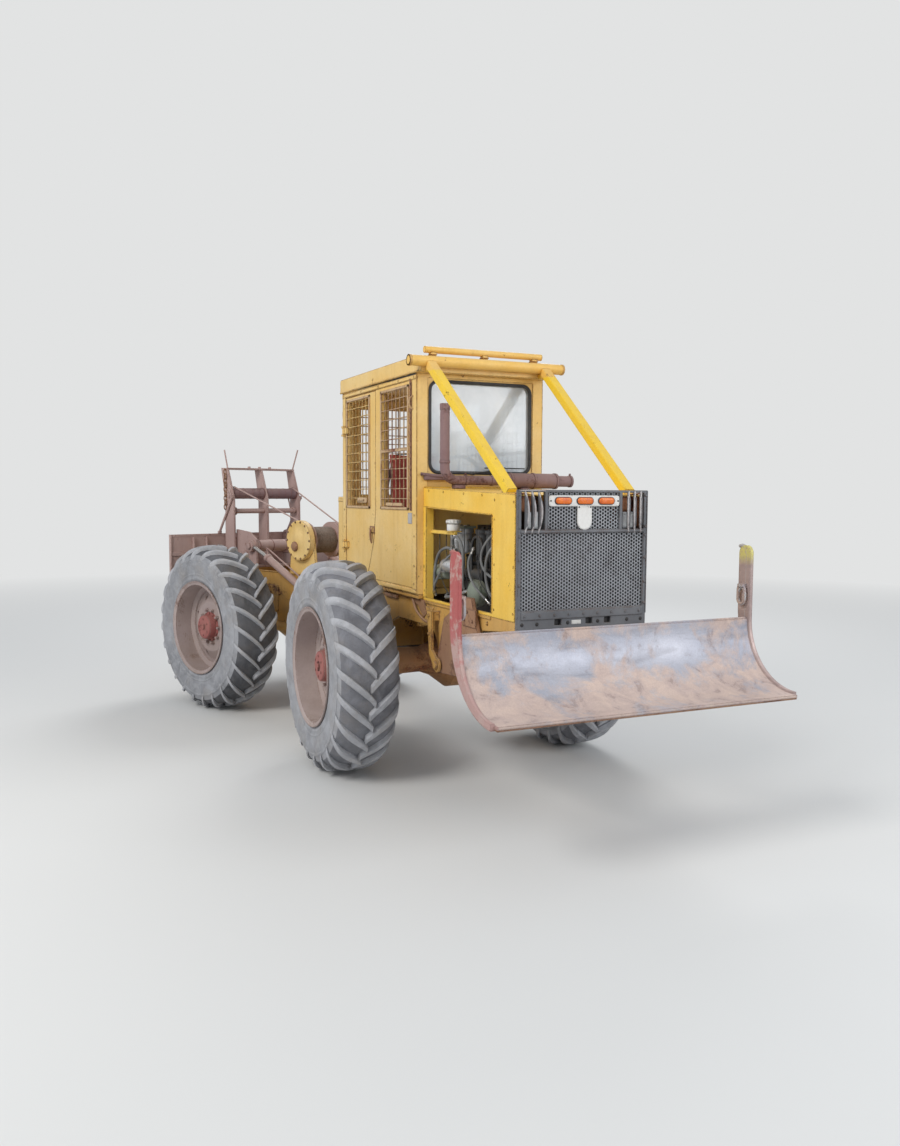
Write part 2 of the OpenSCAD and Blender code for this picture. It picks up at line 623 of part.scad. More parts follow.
// Pillars and rails round the hollow cab
module cab_frame() {
  in = cab_hw - pillar;
  on_front() color("gold") {
    difference() {
      box([cab_back, cab_front], [-cab_hw, cab_hw], [cab_z0, cab_z1]);
      box([cab_back + pillar, cab_front - pillar], [-in, in], [cab_z0 - 1, cab_z1 + 1]);
      box([cab_front - pillar - 1, cab_front + 1], [-in, in], [cab_z0 + 40, cab_z1 - 30]);
      box([cab_back - 1, cab_back + pillar + 1], [-in, in], [cab_z0 + 40, cab_z1 - 40]);
      both_sides() box([cab_back + pillar, cab_front - pillar], [in - 1, cab_hw + 1], [cab_z0 + 40, cab_z1 - 40]);
    }
    // Middle pillar behind the fixed panel's rear edge, and the door hinges' pins
    both_sides() {
      box([door_split + 8, door_split + 60], [in, cab_hw - wall], [cab_z0 + 39, cab_z1 - 39]);
      for (z = [1500, 2400]) {
        translate([cab_back + pillar, cab_hw + 17, z - 40]) cylinder(r = hinge_r, h = 80);
        for (dz = [-40, 25]) box([cab_back + pillar - 40, cab_back + pillar + hinge_r],
          [cab_hw, cab_hw + 17 + hinge_r], [z + dz, z + dz + 15]);
      }
    }
  }
}
// The side panel is cut away over the front tyre, and the door takes the other side of the same line
module side_split(shift) {
  polygon([
    [door_split + shift, cab_z1], [door_split + shift, 1790], [door_split - 40 + shift, 1560],
    [door_split - 130 + shift, 1370], [door_split - 200 + shift, cab_z0], [cab_front, cab_z0], [cab_front, cab_z1]
  ]);
}
mesh_front = [-270, 222];
mesh_rear = [-1036, -535];
mesh_top = 2620;
module cab_walls() {
  in = cab_hw - pillar;
  on_front() color("khaki") {
    box([cab_back + pillar, cab_front - pillar], [-in, in], [cab_z0, cab_z0 + 30]);
    // Rear wall with its window
    difference() {
      box([cab_back + 10, cab_back + 10 + wall], [-in, in], [cab_z0 + 40, cab_z1 - 40]);
      box([cab_back, cab_back + 60], [-in + 60, in - 60], [1900, cab_z1 - 120]);
    }
    // Wall between the cab and the engine bay
    box([cab_front - 10 - wall, cab_front - 10], [-in, in], [cab_z0 + 40, 2030]);
    // Fixed side panels with their window
    both_sides() upright(cab_hw - wall, cab_hw) difference() {
      intersection() {
        side_split(0);
        translate([cab_back + pillar, cab_z0 + 40]) square([cab_len - 2 * pillar, cab_z1 - cab_z0 - 80]);
      }
      translate([mesh_front[0], sill_z]) square([mesh_front[1] - mesh_front[0], mesh_top - sill_z]);
    }
  }
}
module cab_roof() {
  x = [cab_back - 25, cab_front + 60];
  edge = roof_z - roof_lip;
  on_front() color("gold") {
    // Pan with turned-down sides, and its raised middle
    upright(-cab_hw - 12, cab_hw + 12) polygon([[x[0], cab_z1], [x[0], edge - 16], [x[0] + 16, edge],
      [x[1] - 16, edge], [x[1], edge - 16], [x[1], cab_z1]]);
    box([x[0] + 45, x[1] - 75], [-cab_hw + 28, cab_hw - 28], [edge - 1, roof_z]);
    // Swages across the raised middle's sides
    both_sides() box([x[0] + 45, x[1] - 75], [cab_hw - 18, cab_hw - 8], [edge - 1, edge + 4]);
  }
}
module windscreen() {
  in = cab_hw - pillar;
  on_front() color("lightblue") box([cab_front - 30, cab_front - 24], [-in, in], [2030, cab_z1 - 30]);
}
// Welded wire mesh: flat bars up and across in the XZ plane
module mesh(x, z, y0, t, nx, nz) {
  for (i = [0:nx]) box([x[0] + i * (x[1] - x[0]) / nx - t / 2, x[0] + i * (x[1] - x[0]) / nx + t / 2],
    [y0, y0 + t], z);
  for (j = [0:nz]) box(x, [y0, y0 + t], [z[0] + j * (z[1] - z[0]) / nz - t / 2, z[0] + j * (z[1] - z[0]) / nz + t / 2]);
}
module cab_mesh() {
  in = cab_hw - pillar;
  on_front() color("sienna") {
    both_sides() mesh([mesh_front[0] - 10, mesh_front[1] + 10], [sill_z - 10, mesh_top + 10], cab_hw, 7, 7, 12);
    translate([cab_back + 10, 0, 0]) rotate([0, 0, 90])
      mesh([-in + 50, in - 50], [1890, cab_z1 - 110], 0, 7, 8, 10);
  }
}
module roof_bars() {
  tube_x = cab_front + 60 + 35;
  on_front() {
    color("gold") {
      cross_rod(35, -cab_hw - 102, cab_hw + 102, tube_x, 2764);
      cross_rod(22, -439, 439, cab_front + 35, roof_z + 32);
      for (y = [-380, 0, 380]) box([cab_front + 15, cab_front + 55], [y - 20, y + 20], [roof_z - roof_lip, roof_z + 14]);
    }
    // Diagonal branch bars from the front tube down to the nose
    color("yellow") both_sides() bar_between([tube_x + 22, cab_hw - 47, 2740], [bay_front - 150, bay_hw - 32,
      nose_top + 40], 26);
  }
}
module seat() {
  on_front() color("firebrick") {
    box([-760, -320], [-230, 230], [1560, 1660]);
    box([-860, -770], [-220, 220], [1600, 2240]);
    box([-800, -759], [-200, 200], [1560, 1700]);
    box([-700, -400], [-150, 150], [cab_z0 + 30, 1560]);
  }
}
module controls() {
  on_front() color("darkslategray") {
    box([180, cab_front - 10 - wall], [-380, 380], [1840, 2000]);
    bar_between([190, 0, 1900], [-20, 0, 2010], 20);
    translate([-20, 0, 2010]) rotate([0, -62, 0]) cylinder(r = 190, h = 24);
  }
}
module rear_box() {
  on_front() color("gold") box([cab_back - 290, cab_back], [-420, 420], [1250, 1880]);
}

// Door: slanted in front over the tyre, hinged on the rear pillar, with its window and mesh
module door(side) {
  x0 = cab_back + pillar + clear;
  z0 = cab_z0 + 40 + clear;
  z1 = cab_z1 - 40 - clear;
  on_front() scale([1, side, 1]) color("khaki") {
    upright(cab_hw - wall, cab_hw) difference() {
      translate([x0, z0]) square([cab_len, z1 - z0]);
      side_split(-clear);
      translate([door_split - clear, z0 - 1]) square([cab_len, z1 - z0 + 2]);
      translate([mesh_rear[0], sill_z]) square([mesh_rear[1] - mesh_rear[0], mesh_top - sill_z]);
    }
    mesh([mesh_rear[0] - 10, mesh_rear[1] + 10], [sill_z - 10, mesh_top + 10], cab_hw, 7, 7, 12);
    // Latch with its lever
    box([-500, -440], [cab_hw - 1, cab_hw + 12], [1618, 1656]);
    box([-492, -470], [cab_hw + 11, cab_hw + 24], [1560, 1650]);
    for (z = [1500, 2400]) difference() {
      union() {
        translate([x0 - clear, cab_hw + 17, z - 24]) cylinder(r = hinge_r + 5, h = 48);
        box([x0 - clear, x0 + 60], [cab_hw + 12, cab_hw + 20], [z - 24, z + 24]);
        box([x0 + 12, x0 + 60], [cab_hw - 1, cab_hw + 13], [z - 24, z + 24]);
      }
      translate([x0 - clear, cab_hw + 17, z - 30]) cylinder(r = hinge_r + run, h = 60);
    }
  }
}
module door_right() { door(-1); }
module door_left() { door(1); }

// Blade

// Quarter ring of the blade's curve between two radii, in the XZ plane
module blade_arc(r0, r1) {
  difference() {
    intersection() {
      translate([blade_cx, blade_cz]) circle(r = r1, $fn = 96);
      translate([blade_cx - r1, blade_cz - r1]) square(r1);
    }
    translate([blade_cx, blade_cz]) circle(r = r0, $fn = 96);
  }
}
// End plate: its back curve runs into the blade's foot, and it rises into a round-topped horn
module end_plate_outline() {
  back = blade_cx - blade_r - end_plate_w + 10;
  drop = end_plate_w - 35;
  difference() {
    union() {
      intersection() {
        translate([blade_cx, blade_cz + drop]) circle(r = blade_cx - back, $fn = 96);
        translate([back, blade_cz - blade_r - 60]) square([blade_cx - back, blade_r + 60 + drop]);
      }
      translate([back, blade_cz + drop - 1]) square([end_plate_w, horn_z - blade_cz - drop - end_plate_w / 2 + 1]);
      translate([back + end_plate_w / 2, horn_z - end_plate_w / 2]) circle(r = end_plate_w / 2);
    }
    translate([blade_cx, blade_cz]) circle(r = blade_r - 10, $fn = 96);
    translate([back + end_plate_w, blade_cz]) square([blade_r, horn_z]);
  }
}
link_z = 1330;                              // middle of the links hung on the horns
module link_outline(r) {
  for (s = [-1, 1]) translate([1970, link_z + s * 26]) circle(r = r);
  translate([1970 - r, link_z - 26]) square([2 * r, 52]);
}
module blade() {
  ro = blade_r + blade_t;
  on_front() color("lightsteelblue") {
    upright(-blade_hw + 22, blade_hw - 22) {
      blade_arc(blade_r, ro);
      translate([blade_cx - 1, blade_z]) square([31, blade_t]);
    }
    // End plates rising into the horns
    both_sides() upright(blade_hw - 22, blade_hw) end_plate_outline();
    // Flat links hung on the horns' inner faces
    both_sides() {
      box([1950, 1990], [blade_hw - 58, blade_hw - 21], [link_z + 44, link_z + 62]);
      upright(blade_hw - 52, blade_hw - 38) difference() {
        link_outline(32);
        link_outline(18);
      }
    }
    // Ears for the lift cylinders
    both_sides() for (y = [lift_y - eye_hw - eye_gap - 12, lift_y + eye_hw + eye_gap]) {
      upright(y, y + 12) difference() {
        union() {
          translate([lift_end_x, lift_end_z]) circle(r = eye_r);
          polygon([[lift_end_x, lift_end_z - eye_r], [blade_cx, lift_end_z - 90], [blade_cx, lift_end_z + 80],
            [lift_end_x, lift_end_z + eye_r]]);
        }
        translate([blade_cx, blade_cz]) circle(r = blade_r + 2, $fn = 96);
      }
    }
    both_sides() for (y = [lift_y - eye_hw - eye_gap - 20, lift_y + eye_hw + eye_gap + 11])
      cross_rod(28, y, y + 9, lift_end_x, lift_end_z);
  }
}
module blade_arms() {
  on_front() color("saddlebrown") both_sides() difference() {
    upright(arm_y, arm_y + arm_t) difference() {
      union() {
        polygon([[arm_pivot_x + 10, arm_pivot_z - 49], [arm_pivot_x - 40, arm_pivot_z + 30], [800, 1120], [1120, 1285],
          [1190, 1285], [1275, 1085], [1500, 1060], [blade_cx, 1150], [blade_cx, 880], [1500, 880],
          [1000, 780]]);
        translate([arm_pivot_x, arm_pivot_z]) circle(r = 50);
      }
      translate([blade_cx, blade_cz]) circle(r = blade_r + blade_t + fit, $fn = 96);
    }
    cross_rod(arm_pin_r + run, arm_y - 10, arm_y + arm_t + 10, arm_pivot_x, arm_pivot_z);
  }
}

// Hydraulic cylinders, drawn along Z from a to b. A flat one has upright eye bores, another one level bores.

module along(a, b) {
  d = b - a;
  translate(a) rotate([0, acos(d[2] / norm(d)), atan2(d[1], d[0])]) children();
}
module eye(z, bore, flat) {
  translate([0, 0, z]) rotate(flat ? [0, 90, 0] : [90, 0, 0]) difference() {
    cylinder(r = eye_r, h = 2 * eye_hw, center = true);
    cylinder(r = bore, h = 2 * eye_hw + 2, center = true);
  }
}
module barrel(a, b, r, reach, bore, rod_r, flat) {
  along(a, b) {
    eye(0, bore, flat);
    difference() {
      union() {
        translate([0, 0, 50]) cylinder(r = r, h = reach - 50);
        translate([0, 0, eye_r - 6]) cylinder(r = eye_hw - 2, h = 24);
        translate([0, 0, reach - gland]) cylinder(r = r + 3, h = gland);
      }
      translate([0, 0, 58]) cylinder(r = r - 8, h = reach - 58 - gland);
      translate([0, 0, reach - gland - 1]) cylinder(r = rod_r + run, h = gland + 2);
    }
    // Oil ports, welded on at both ends
    for (z = [80, reach - gland - 30]) rotate(flat ? [0, 0, 90] : [0, 0, 180]) translate([r - 3, 0, z])
      rotate([0, 90, 0]) cylinder(r = 12, h = 17);
  }
}
module rod(a, b, rod_len, bore, rod_r, flat) {
  len = norm(b - a);
  along(a, b) {
    translate([0, 0, len - rod_len]) cylinder(r = rod_r, h = rod_len - eye_r + 3);
    eye(len, bore, flat);
  }
}
function lift_a(s) = [lift_x, s * lift_y, lift_z];
function lift_b(s) = [lift_end_x, s * lift_y, lift_end_z];
module lift_barrels() {
  on_front() color("goldenrod") for (s = [-1, 1]) barrel(lift_a(s), lift_b(s), 34, 800, arm_pin_r + run, 20, false);
}
module lift_rods() {
  on_front() color("silver") for (s = [-1, 1]) rod(lift_a(s), lift_b(s), 500, 20, 20, false);
}
// The steering cylinder's rear pin turns with the rear frame
function steer_a(s) = [-pivot_back + steer_front, s * steer_front_y, steer_z];
function steer_b(s) = [
  -pivot_back - steer_rear * cos(steer_rest) - s * steer_rear_y * sin(steer_rest),
  -steer_rear * sin(steer_rest) + s * steer_rear_y * cos(steer_rest), steer_z
];
module steer_barrel(s) {
  on_front() color("goldenrod") barrel(steer_a(s), steer_b(s), 38, 430, 20 + run, 20, true);
}
module steer_rod(s) {
  on_front() color("silver") rod(steer_a(s), steer_b(s), 424, 20, 20, true);
}
module steer_barrel_right() { steer_barrel(-1); }
module steer_barrel_left() { steer_barrel(1); }
module steer_rod_right() { steer_rod(-1); }
module steer_rod_left() { steer_rod(1); }

// Rear frame

module rear_frame() {
  on_rear() color("goldenrod") {
    both_sides() upright(rear_in, rear_hw) difference() {
      polygon([[-340, 1000], [-420, rear_top], [-1960, rear_top], [-1960, 800], [-axle_back - 190, axle_z],
        [-axle_back + 190, axle_z], [-700, 640], [-400, 566], [-340, 620]]);
      translate([-axle_back, axle_z]) circle(r = 90.8);
    }
    difference() {
      box([-420, -400], [-rear_in, rear_in], [566, 1100]);
      box([-430, -390], [-55, 55], [shaft_z - 100, shaft_z + 25]);
    }
    box([-1960, -1940], [-rear_in, rear_in], [800, rear_top]);
    box([-1000, -430], [-rear_in, rear_in], [rear_top - 20, rear_top]);
    // Knuckles between the steering ears
    for (z = [[ear_lo + clear, bench_z], [ear_hi - 80, ear_hi - clear]]) difference() {
      hull() {
        translate([0, 0, z[0]]) cylinder(r = 92, h = z[1] - z[0], $fn = 32);
        box([-405, -390], [-220, 220], z);
      }
      translate([0, 0, z[0] - 1]) cylinder(r = pin_r + run, h = z[1] - z[0] + 2);
    }
    // Lugs of the steering cylinders, with the pins' heads
    both_sides() for (s = [-1, 1]) {
      z0 = steer_z + s * (eye_hw + eye_gap) - (s < 0 ? 12 : 0);
      translate([-steer_rear, steer_rear_y, z0]) cylinder(r = eye_r - 1, h = 12);
      box([-405, -steer_rear], [steer_rear_y - eye_r + 1, steer_rear_y + eye_r - 1], [z0, z0 + 12]);
      translate([-steer_rear, steer_rear_y, s < 0 ? z0 - 8 : z0 + 11]) cylinder(r = 26, h = 9);
    }
  }
}
module winch() {
  w0 = rear_hw + 12;
  on_rear() color("gold") {
    cross_rod(winch_r, -w0 - 45, -w0 + 2, -winch_back, winch_z);
    box([-winch_back - 200, -winch_back + 200], [-rear_hw, rear_hw], [rear_top, rear_top + 30]);
    both_sides() upright(rear_hw - 16, w0) difference() {
      polygon([[-winch_back - 200, rear_top], [-winch_back + 200, rear_top], [-winch_back + 150, winch_z],
        [-winch_back + 100, winch_z + 130], [-winch_back - 100, winch_z + 130], [-winch_back - 170, winch_z]]);
      translate([-winch_back, winch_z]) circle(r = 30 + fit);
    }
  }
}
wound_r = 112;                              // outer radius of the rope on a drum
module rope(s) {
  r = 52 + rope_r + 3.5;                    // rope's middle round the roller
  axis = [-arch_back - 16, roller_z];
  foot = [-winch_back - 40, winch_z + 98];
  d = axis - foot;
  a = atan2(d[1], -d[0]) + asin(r / norm(d));
  top = axis + r * [sin(a), cos(a)];
  back = axis + r * [-cos(20), -sin(20)];
  bar_between([foot[0], s * 180, foot[1]], [top[0], s * rope_y, top[1]], rope_r);
  translate([top[0], s * rope_y, top[1]]) sphere(r = rope_r + 1);
  translate([axis[0], s * rope_y, axis[1]]) rotate([90, 0, 0]) rotate([0, 0, 90 - a]) rotate_extrude(angle = 110 + a)
    translate([r, 0]) circle(r = rope_r);
  translate([back[0], s * rope_y, back[1]]) sphere(r = rope_r + 3);
  bar_between([back[0], s * rope_y, back[1]], [-arch_back - 30, s * rope_y, 1735 + 16], rope_r);
  translate([-arch_back, s * rope_y, 1735]) rotate([90, 0, 0]) rotate_extrude() translate([24 + rope_r + 1, 0])
    circle(r = rope_r);
}
module winch_drums() {
  out = rear_hw - 16 - 2;
  on_rear() color("dimgray") {
    cross_rod(30, -rear_hw - 5, rear_hw + 5, -winch_back, winch_z);
    for (y = [[-out, -8], [8, out]]) {
      cross_rod(80, y[0], y[1], -winch_back, winch_z);
      cross_rod(160, y[0], y[0] + 14, -winch_back, winch_z);
      cross_rod(160, y[1] - 14, y[1], -winch_back, winch_z);
    }
    cross_rod(60, -9, 9, -winch_back, winch_z);
    // Wound rope, and its run over the roller to an eye round the arch's lower bar
    for (y = [[-out + 13, -21], [21, out - 13]]) cross_rod(wound_r, y[0], y[1], -winch_back, winch_z);
    for (s = [-1, 1]) rope(s);
  }
}
// Arch: three bent plates joined by bars, leaning back over the shield
module arch_outline() {
  polygon([[-arch_back + 70, rear_top], [-arch_back + 60, 1860], [-arch_back - 40, arch_top],
    [-arch_back - 150, arch_top], [-arch_back - 90, 1860], [-arch_back - 90, rear_top]]);
}
shackle = [-arch_back - 125, 1500];         // middle of a shackle lug's hole
module roller_hole() {
  translate([-arch_back - 16, roller_z]) circle(r = 22 + fit);
}
module rope_arch() {
  on_rear() color("rosybrown") {
    both_sides() upright(arch_hw - 18, arch_hw) difference() {
      arch_outline();
      roller_hole();
    }
    upright(-10, 10) difference() {
      arch_outline();
      roller_hole();
    }
    box([-arch_back - 150, -arch_back - 40], [-arch_hw, arch_hw], [arch_top, arch_top + 14]);
    cross_rod(24, -arch_hw + 17, arch_hw - 17, -arch_back, 1735);
    box([-arch_back - 89, -arch_back + 69], [-arch_hw + 17, arch_hw - 17], [rear_top, rear_top + 20]);
    cross_rod(55, -arch_hw, arch_hw, -arch_back + 320, 1410);
    both_sides() upright(arch_hw - 60, arch_hw - 40) polygon([[-arch_back + 40, rear_top], [-arch_back + 380, rear_top],
      [-arch_back + 380, 1470], [-arch_back + 260, 1540], [-arch_back + 40, 1560]]);
    both_sides() {
      // Shackle lug
      upright(arch_hw - 60, arch_hw - 40) difference() {
        union() {
          translate(shackle) circle(r = 36);
          translate([shackle[0] - 36, 1300]) square([72, shackle[1] - 1300]);
          translate([shackle[0], 1300]) square([-arch_back + 50 - shackle[0], 90]);
        }
        translate(shackle) circle(r = shackle_r);
      }
      // Brace from the plate down to the shield's top edge
      bar_between([-arch_back + 56, arch_hw + 11, 1870], [-shield_back + 14, arch_hw + 11, shield_top + 18], 12);
      box([-arch_back + 36, -arch_back + 60], [arch_hw - 1, arch_hw + 22], [1850, 1884]);
      box([-shield_back - 4, -shield_back + 26], [arch_hw - 4, arch_hw + 24], [shield_top + fit, shield_top + 24]);
    }
    // Thin rods standing on the top corners
    bar_between([-arch_back - 50, -arch_hw + 9, arch_top + 4], [-arch_back - 105, -arch_hw + 9, 2324], 7);
    bar_between([-arch_back - 60, arch_hw - 9, arch_top + 4], [-arch_back + 37, arch_hw - 9, 2345], 7);
  }
}
module arch_rollers() {
  on_rear() color("saddlebrown") {
    cross_rod(22, -arch_hw - 10, arch_hw + 10, -arch_back - 16, roller_z);
    both_sides() cross_rod(52, 11, arch_hw - 19, -arch_back - 16, roller_z);
  }
}
module rear_shield() {
  on_rear() color("rosybrown") {
    upright(-shield_hw, shield_hw) polygon([[-shield_back + 16, shield_top], [-shield_back, shield_top],
      [-shield_back, 1000], [-shield_foot, 700], [-shield_foot + 16, 694], [-shield_back + 16, 997]]);
    both_sides() box([-shield_back + 15, -1960], [rear_in, rear_hw], [820, rear_top]);
  }
}

front_frame();
front_axle();
gearbox();
engine();
radiator();
hood();
grille_guard();
grille_screen();
headlamps();
marker_panel();
exhaust();
cab_frame();
cab_walls();
cab_roof();
windscreen();
cab_mesh();
roof_bars();
seat();
controls();
rear_box();
door_right();
door_left();
blade();
blade_arms();
lift_barrels();
lift_rods();
rear_frame();
rear_axle();
winch();
winch_drums();
rope_arch();
arch_rollers();
rear_shield();
steer_barrel_right();
steer_barrel_left();
steer_rod_right();
steer_rod_left();
tyre_front_right();
tyre_front_left();
tyre_rear_right();
tyre_rear_left();
wheel_front_right();
wheel_front_left();
wheel_rear_right();
wheel_rear_left();
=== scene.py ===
import math
import random
from itertools import product
from math import cos, radians, sin
import bpy
import bmesh
from mathutils import Matrix, Vector, noise


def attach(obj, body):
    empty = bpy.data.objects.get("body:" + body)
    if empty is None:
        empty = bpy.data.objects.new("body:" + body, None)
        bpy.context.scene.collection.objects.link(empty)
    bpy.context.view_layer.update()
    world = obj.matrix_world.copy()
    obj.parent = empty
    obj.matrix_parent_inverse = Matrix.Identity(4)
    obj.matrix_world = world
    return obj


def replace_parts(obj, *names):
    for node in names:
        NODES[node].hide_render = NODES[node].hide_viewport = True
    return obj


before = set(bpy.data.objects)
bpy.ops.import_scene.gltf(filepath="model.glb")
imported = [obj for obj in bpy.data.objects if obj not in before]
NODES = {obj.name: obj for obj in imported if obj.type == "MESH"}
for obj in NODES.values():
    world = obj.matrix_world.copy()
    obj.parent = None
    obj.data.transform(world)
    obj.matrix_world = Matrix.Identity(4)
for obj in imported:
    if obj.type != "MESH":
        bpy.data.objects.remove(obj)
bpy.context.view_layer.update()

# Places, in mm: F is the front frame (origin on the ground under its axle), R the rear frame (from the steering pins)
OX, OY = 699.125, 284.8
REST = radians(20)


def F(x, y, z):
    return Vector(((x + OX) / 1000, (y + OY) / 1000, z / 1000))


def R(x, y, z):
    c, s = cos(REST), sin(REST)
    return F(-1500 + x * c - y * s, x * s + y * c, z)


# Rear or not, side, and the tag in the names of nodes, pieces and bodies
WHEELS = ((False, -1, "front_right"), (False, 1, "front_left"), (True, -1, "rear_right"), (True, 1, "rear_left"))
REAR_AXLE_X = -1220
TRACK_Y = 900
AXLE_Z = 725


def wheel_place(rear, side):
    base = R if rear else F
    ax = REAR_AXLE_X if rear else 0

    # Wheel coordinates: axis +Z outboard, x forward
    def place(x, y, z):
        return base(ax + x, side * TRACK_Y + side * z, AXLE_Z - side * y)
    return place


def new_object(name, data):
    ob = bpy.data.objects.new(name, data)
    bpy.context.scene.collection.objects.link(ob)
    return ob


# Camera as fitted to the photo: heading, tilt and roll in degrees, place in metres, lens in mm
HEADING, TILT, ROLL = 155.233, -4.579, 0.248
CAMERA_AT = (7.0231, -2.6872, 1.8935)
LENS = 30.37
psi, theta, rho = radians(HEADING), radians(TILT), radians(ROLL)
fwd = Vector((cos(psi) * cos(theta), sin(psi) * cos(theta), sin(theta)))
right = Vector((sin(psi), -cos(psi), 0))
up = right.cross(fwd)
r2 = right * cos(rho) + up * sin(rho)
u2 = -right * sin(rho) + up * cos(rho)
cam_data = bpy.data.cameras.new("camera")
cam_data.lens = LENS
cam_data.sensor_width = 36
cam_data.clip_end = 400
cam = new_object("camera", cam_data)
m = Matrix.Identity(4)
for i in range(3):
    m[i][0], m[i][1], m[i][2] = r2[i], u2[i], -fwd[i]
    m[i][3] = CAMERA_AT[i]
cam.matrix_world = m
bpy.context.scene.camera = cam
bpy.context.scene.view_settings.view_transform = "Standard"


# Materials
def srgb(code):
    """Linear colour from the six hex digits of a screen colour."""
    out = []
    for i in (0, 2, 4):
        c = int(code[i:i + 2], 16) / 255
        out.append(c / 12.92 if c <= 0.04045 else ((c + 0.055) / 1.055) ** 2.4)
    return (*out, 1.0)


class Mat:
    """A small writer of node trees, in object coordinates, which are metres in the row's frame."""

    def __init__(self, name):
        self.m = bpy.data.materials.new(name)
        self.m.use_nodes = True
        self.nt = self.m.node_tree
        self.nt.nodes.clear()
        self.out = self.new("ShaderNodeOutputMaterial")
        self.b = self.new("ShaderNodeBsdfPrincipled")
        self.link(self.b.outputs[0], self.out.inputs[0])
        self.co = self.new("ShaderNodeTexCoord").outputs["Object"]

    def new(self, kind):
        return self.nt.nodes.new(kind)

    def link(self, a, b):
        self.nt.links.new(a, b)

    def put(self, socket, value):
        if hasattr(value, "is_output"):
            self.link(value, socket)
        else:
            socket.default_value = value

    def mapped(self, scale=(1, 1, 1), shift=(0, 0, 0)):
        n = self.new("ShaderNodeMapping")
        self.link(self.co, n.inputs["Vector"])
        n.inputs["Scale"].default_value = scale
        n.inputs["Location"].default_value = shift
        return n.outputs[0]

    def noise(self, scale, detail=4, rough=0.55, distort=0.0, stretch=(1, 1, 1), shift=(0, 0, 0)):
        n = self.new("ShaderNodeTexNoise")
        self.link(self.mapped(stretch, shift), n.inputs["Vector"])
        n.inputs["Scale"].default_value = scale
        n.inputs["Detail"].default_value = detail
        n.inputs["Roughness"].default_value = rough
        n.inputs["Distortion"].default_value = distort
        return n.outputs["Fac"]

    def voronoi(self, scale):
        n = self.new("ShaderNodeTexVoronoi")
        self.link(self.mapped(), n.inputs["Vector"])
        n.inputs["Scale"].default_value = scale
        return n.outputs["Distance"]

    def math(self, op, a, b=0.0, c=0.0, clamp=False):
        n = self.new("ShaderNodeMath")
        n.operation = op
        n.use_clamp = clamp
        for i, v in enumerate((a, b, c)):
            self.put(n.inputs[i], v)
        return n.outputs[0]

    def mul(self, a, b):
        return self.math("MULTIPLY", a, b)

    def add(self, a, b, clamp=False):
        return self.math("ADD", a, b, clamp=clamp)

    def most(self, a, b):
        return self.math("MAXIMUM", a, b)

    def set(self, name, value):
        """One input of the main shader."""
        self.put(self.b.inputs[name], value)

    def step(self, v, lo, hi, to0=0.0, to1=1.0):
        """v taken from lo...hi to to0...to1 and held there."""
        n = self.new("ShaderNodeMapRange")
        n.clamp = True
        self.put(n.inputs["Value"], v)
        for k, x in (("From Min", lo), ("From Max", hi), ("To Min", to0), ("To Max", to1)):
            n.inputs[k].default_value = x
        return n.outputs[0]

    def mix(self, fac, a, b, mode="MIX"):
        n = self.new("ShaderNodeMix")
        n.data_type = "RGBA"
        n.blend_type = mode
        self.put(n.inputs["Factor"], fac)
        self.put(n.inputs[6], a)
        self.put(n.inputs[7], b)
        return n.outputs[2]

    def xyz(self, socket):
        n = self.new("ShaderNodeSeparateXYZ")
        self.link(socket, n.inputs[0])
        return n.outputs

    def upward(self):
        return self.xyz(self.new("ShaderNodeNewGeometry").outputs["Normal"])[2]

    def edge(self, radius):
        """About 1 on edges and in corners nearer than radius, 0 on flat faces."""
        bev = self.new("ShaderNodeBevel")
        bev.samples = 4
        bev.inputs["Radius"].default_value = radius
        dot = self.new("ShaderNodeVectorMath")
        dot.operation = "DOT_PRODUCT"
        self.link(bev.outputs[0], dot.inputs[0])
        self.link(self.new("ShaderNodeNewGeometry").outputs["Normal"], dot.inputs[1])
        self.soft = bev.outputs[0]
        return self.step(dot.outputs["Value"], 0.995, 0.72)

    def bump(self, height, strength, distance, normal=None):
        n = self.new("ShaderNodeBump")
        n.inputs["Strength"].default_value = strength
        n.inputs["Distance"].default_value = distance
        self.link(height, n.inputs["Height"])
        if normal is not None:
            self.link(normal, n.inputs["Normal"])
        return n.outputs[0]


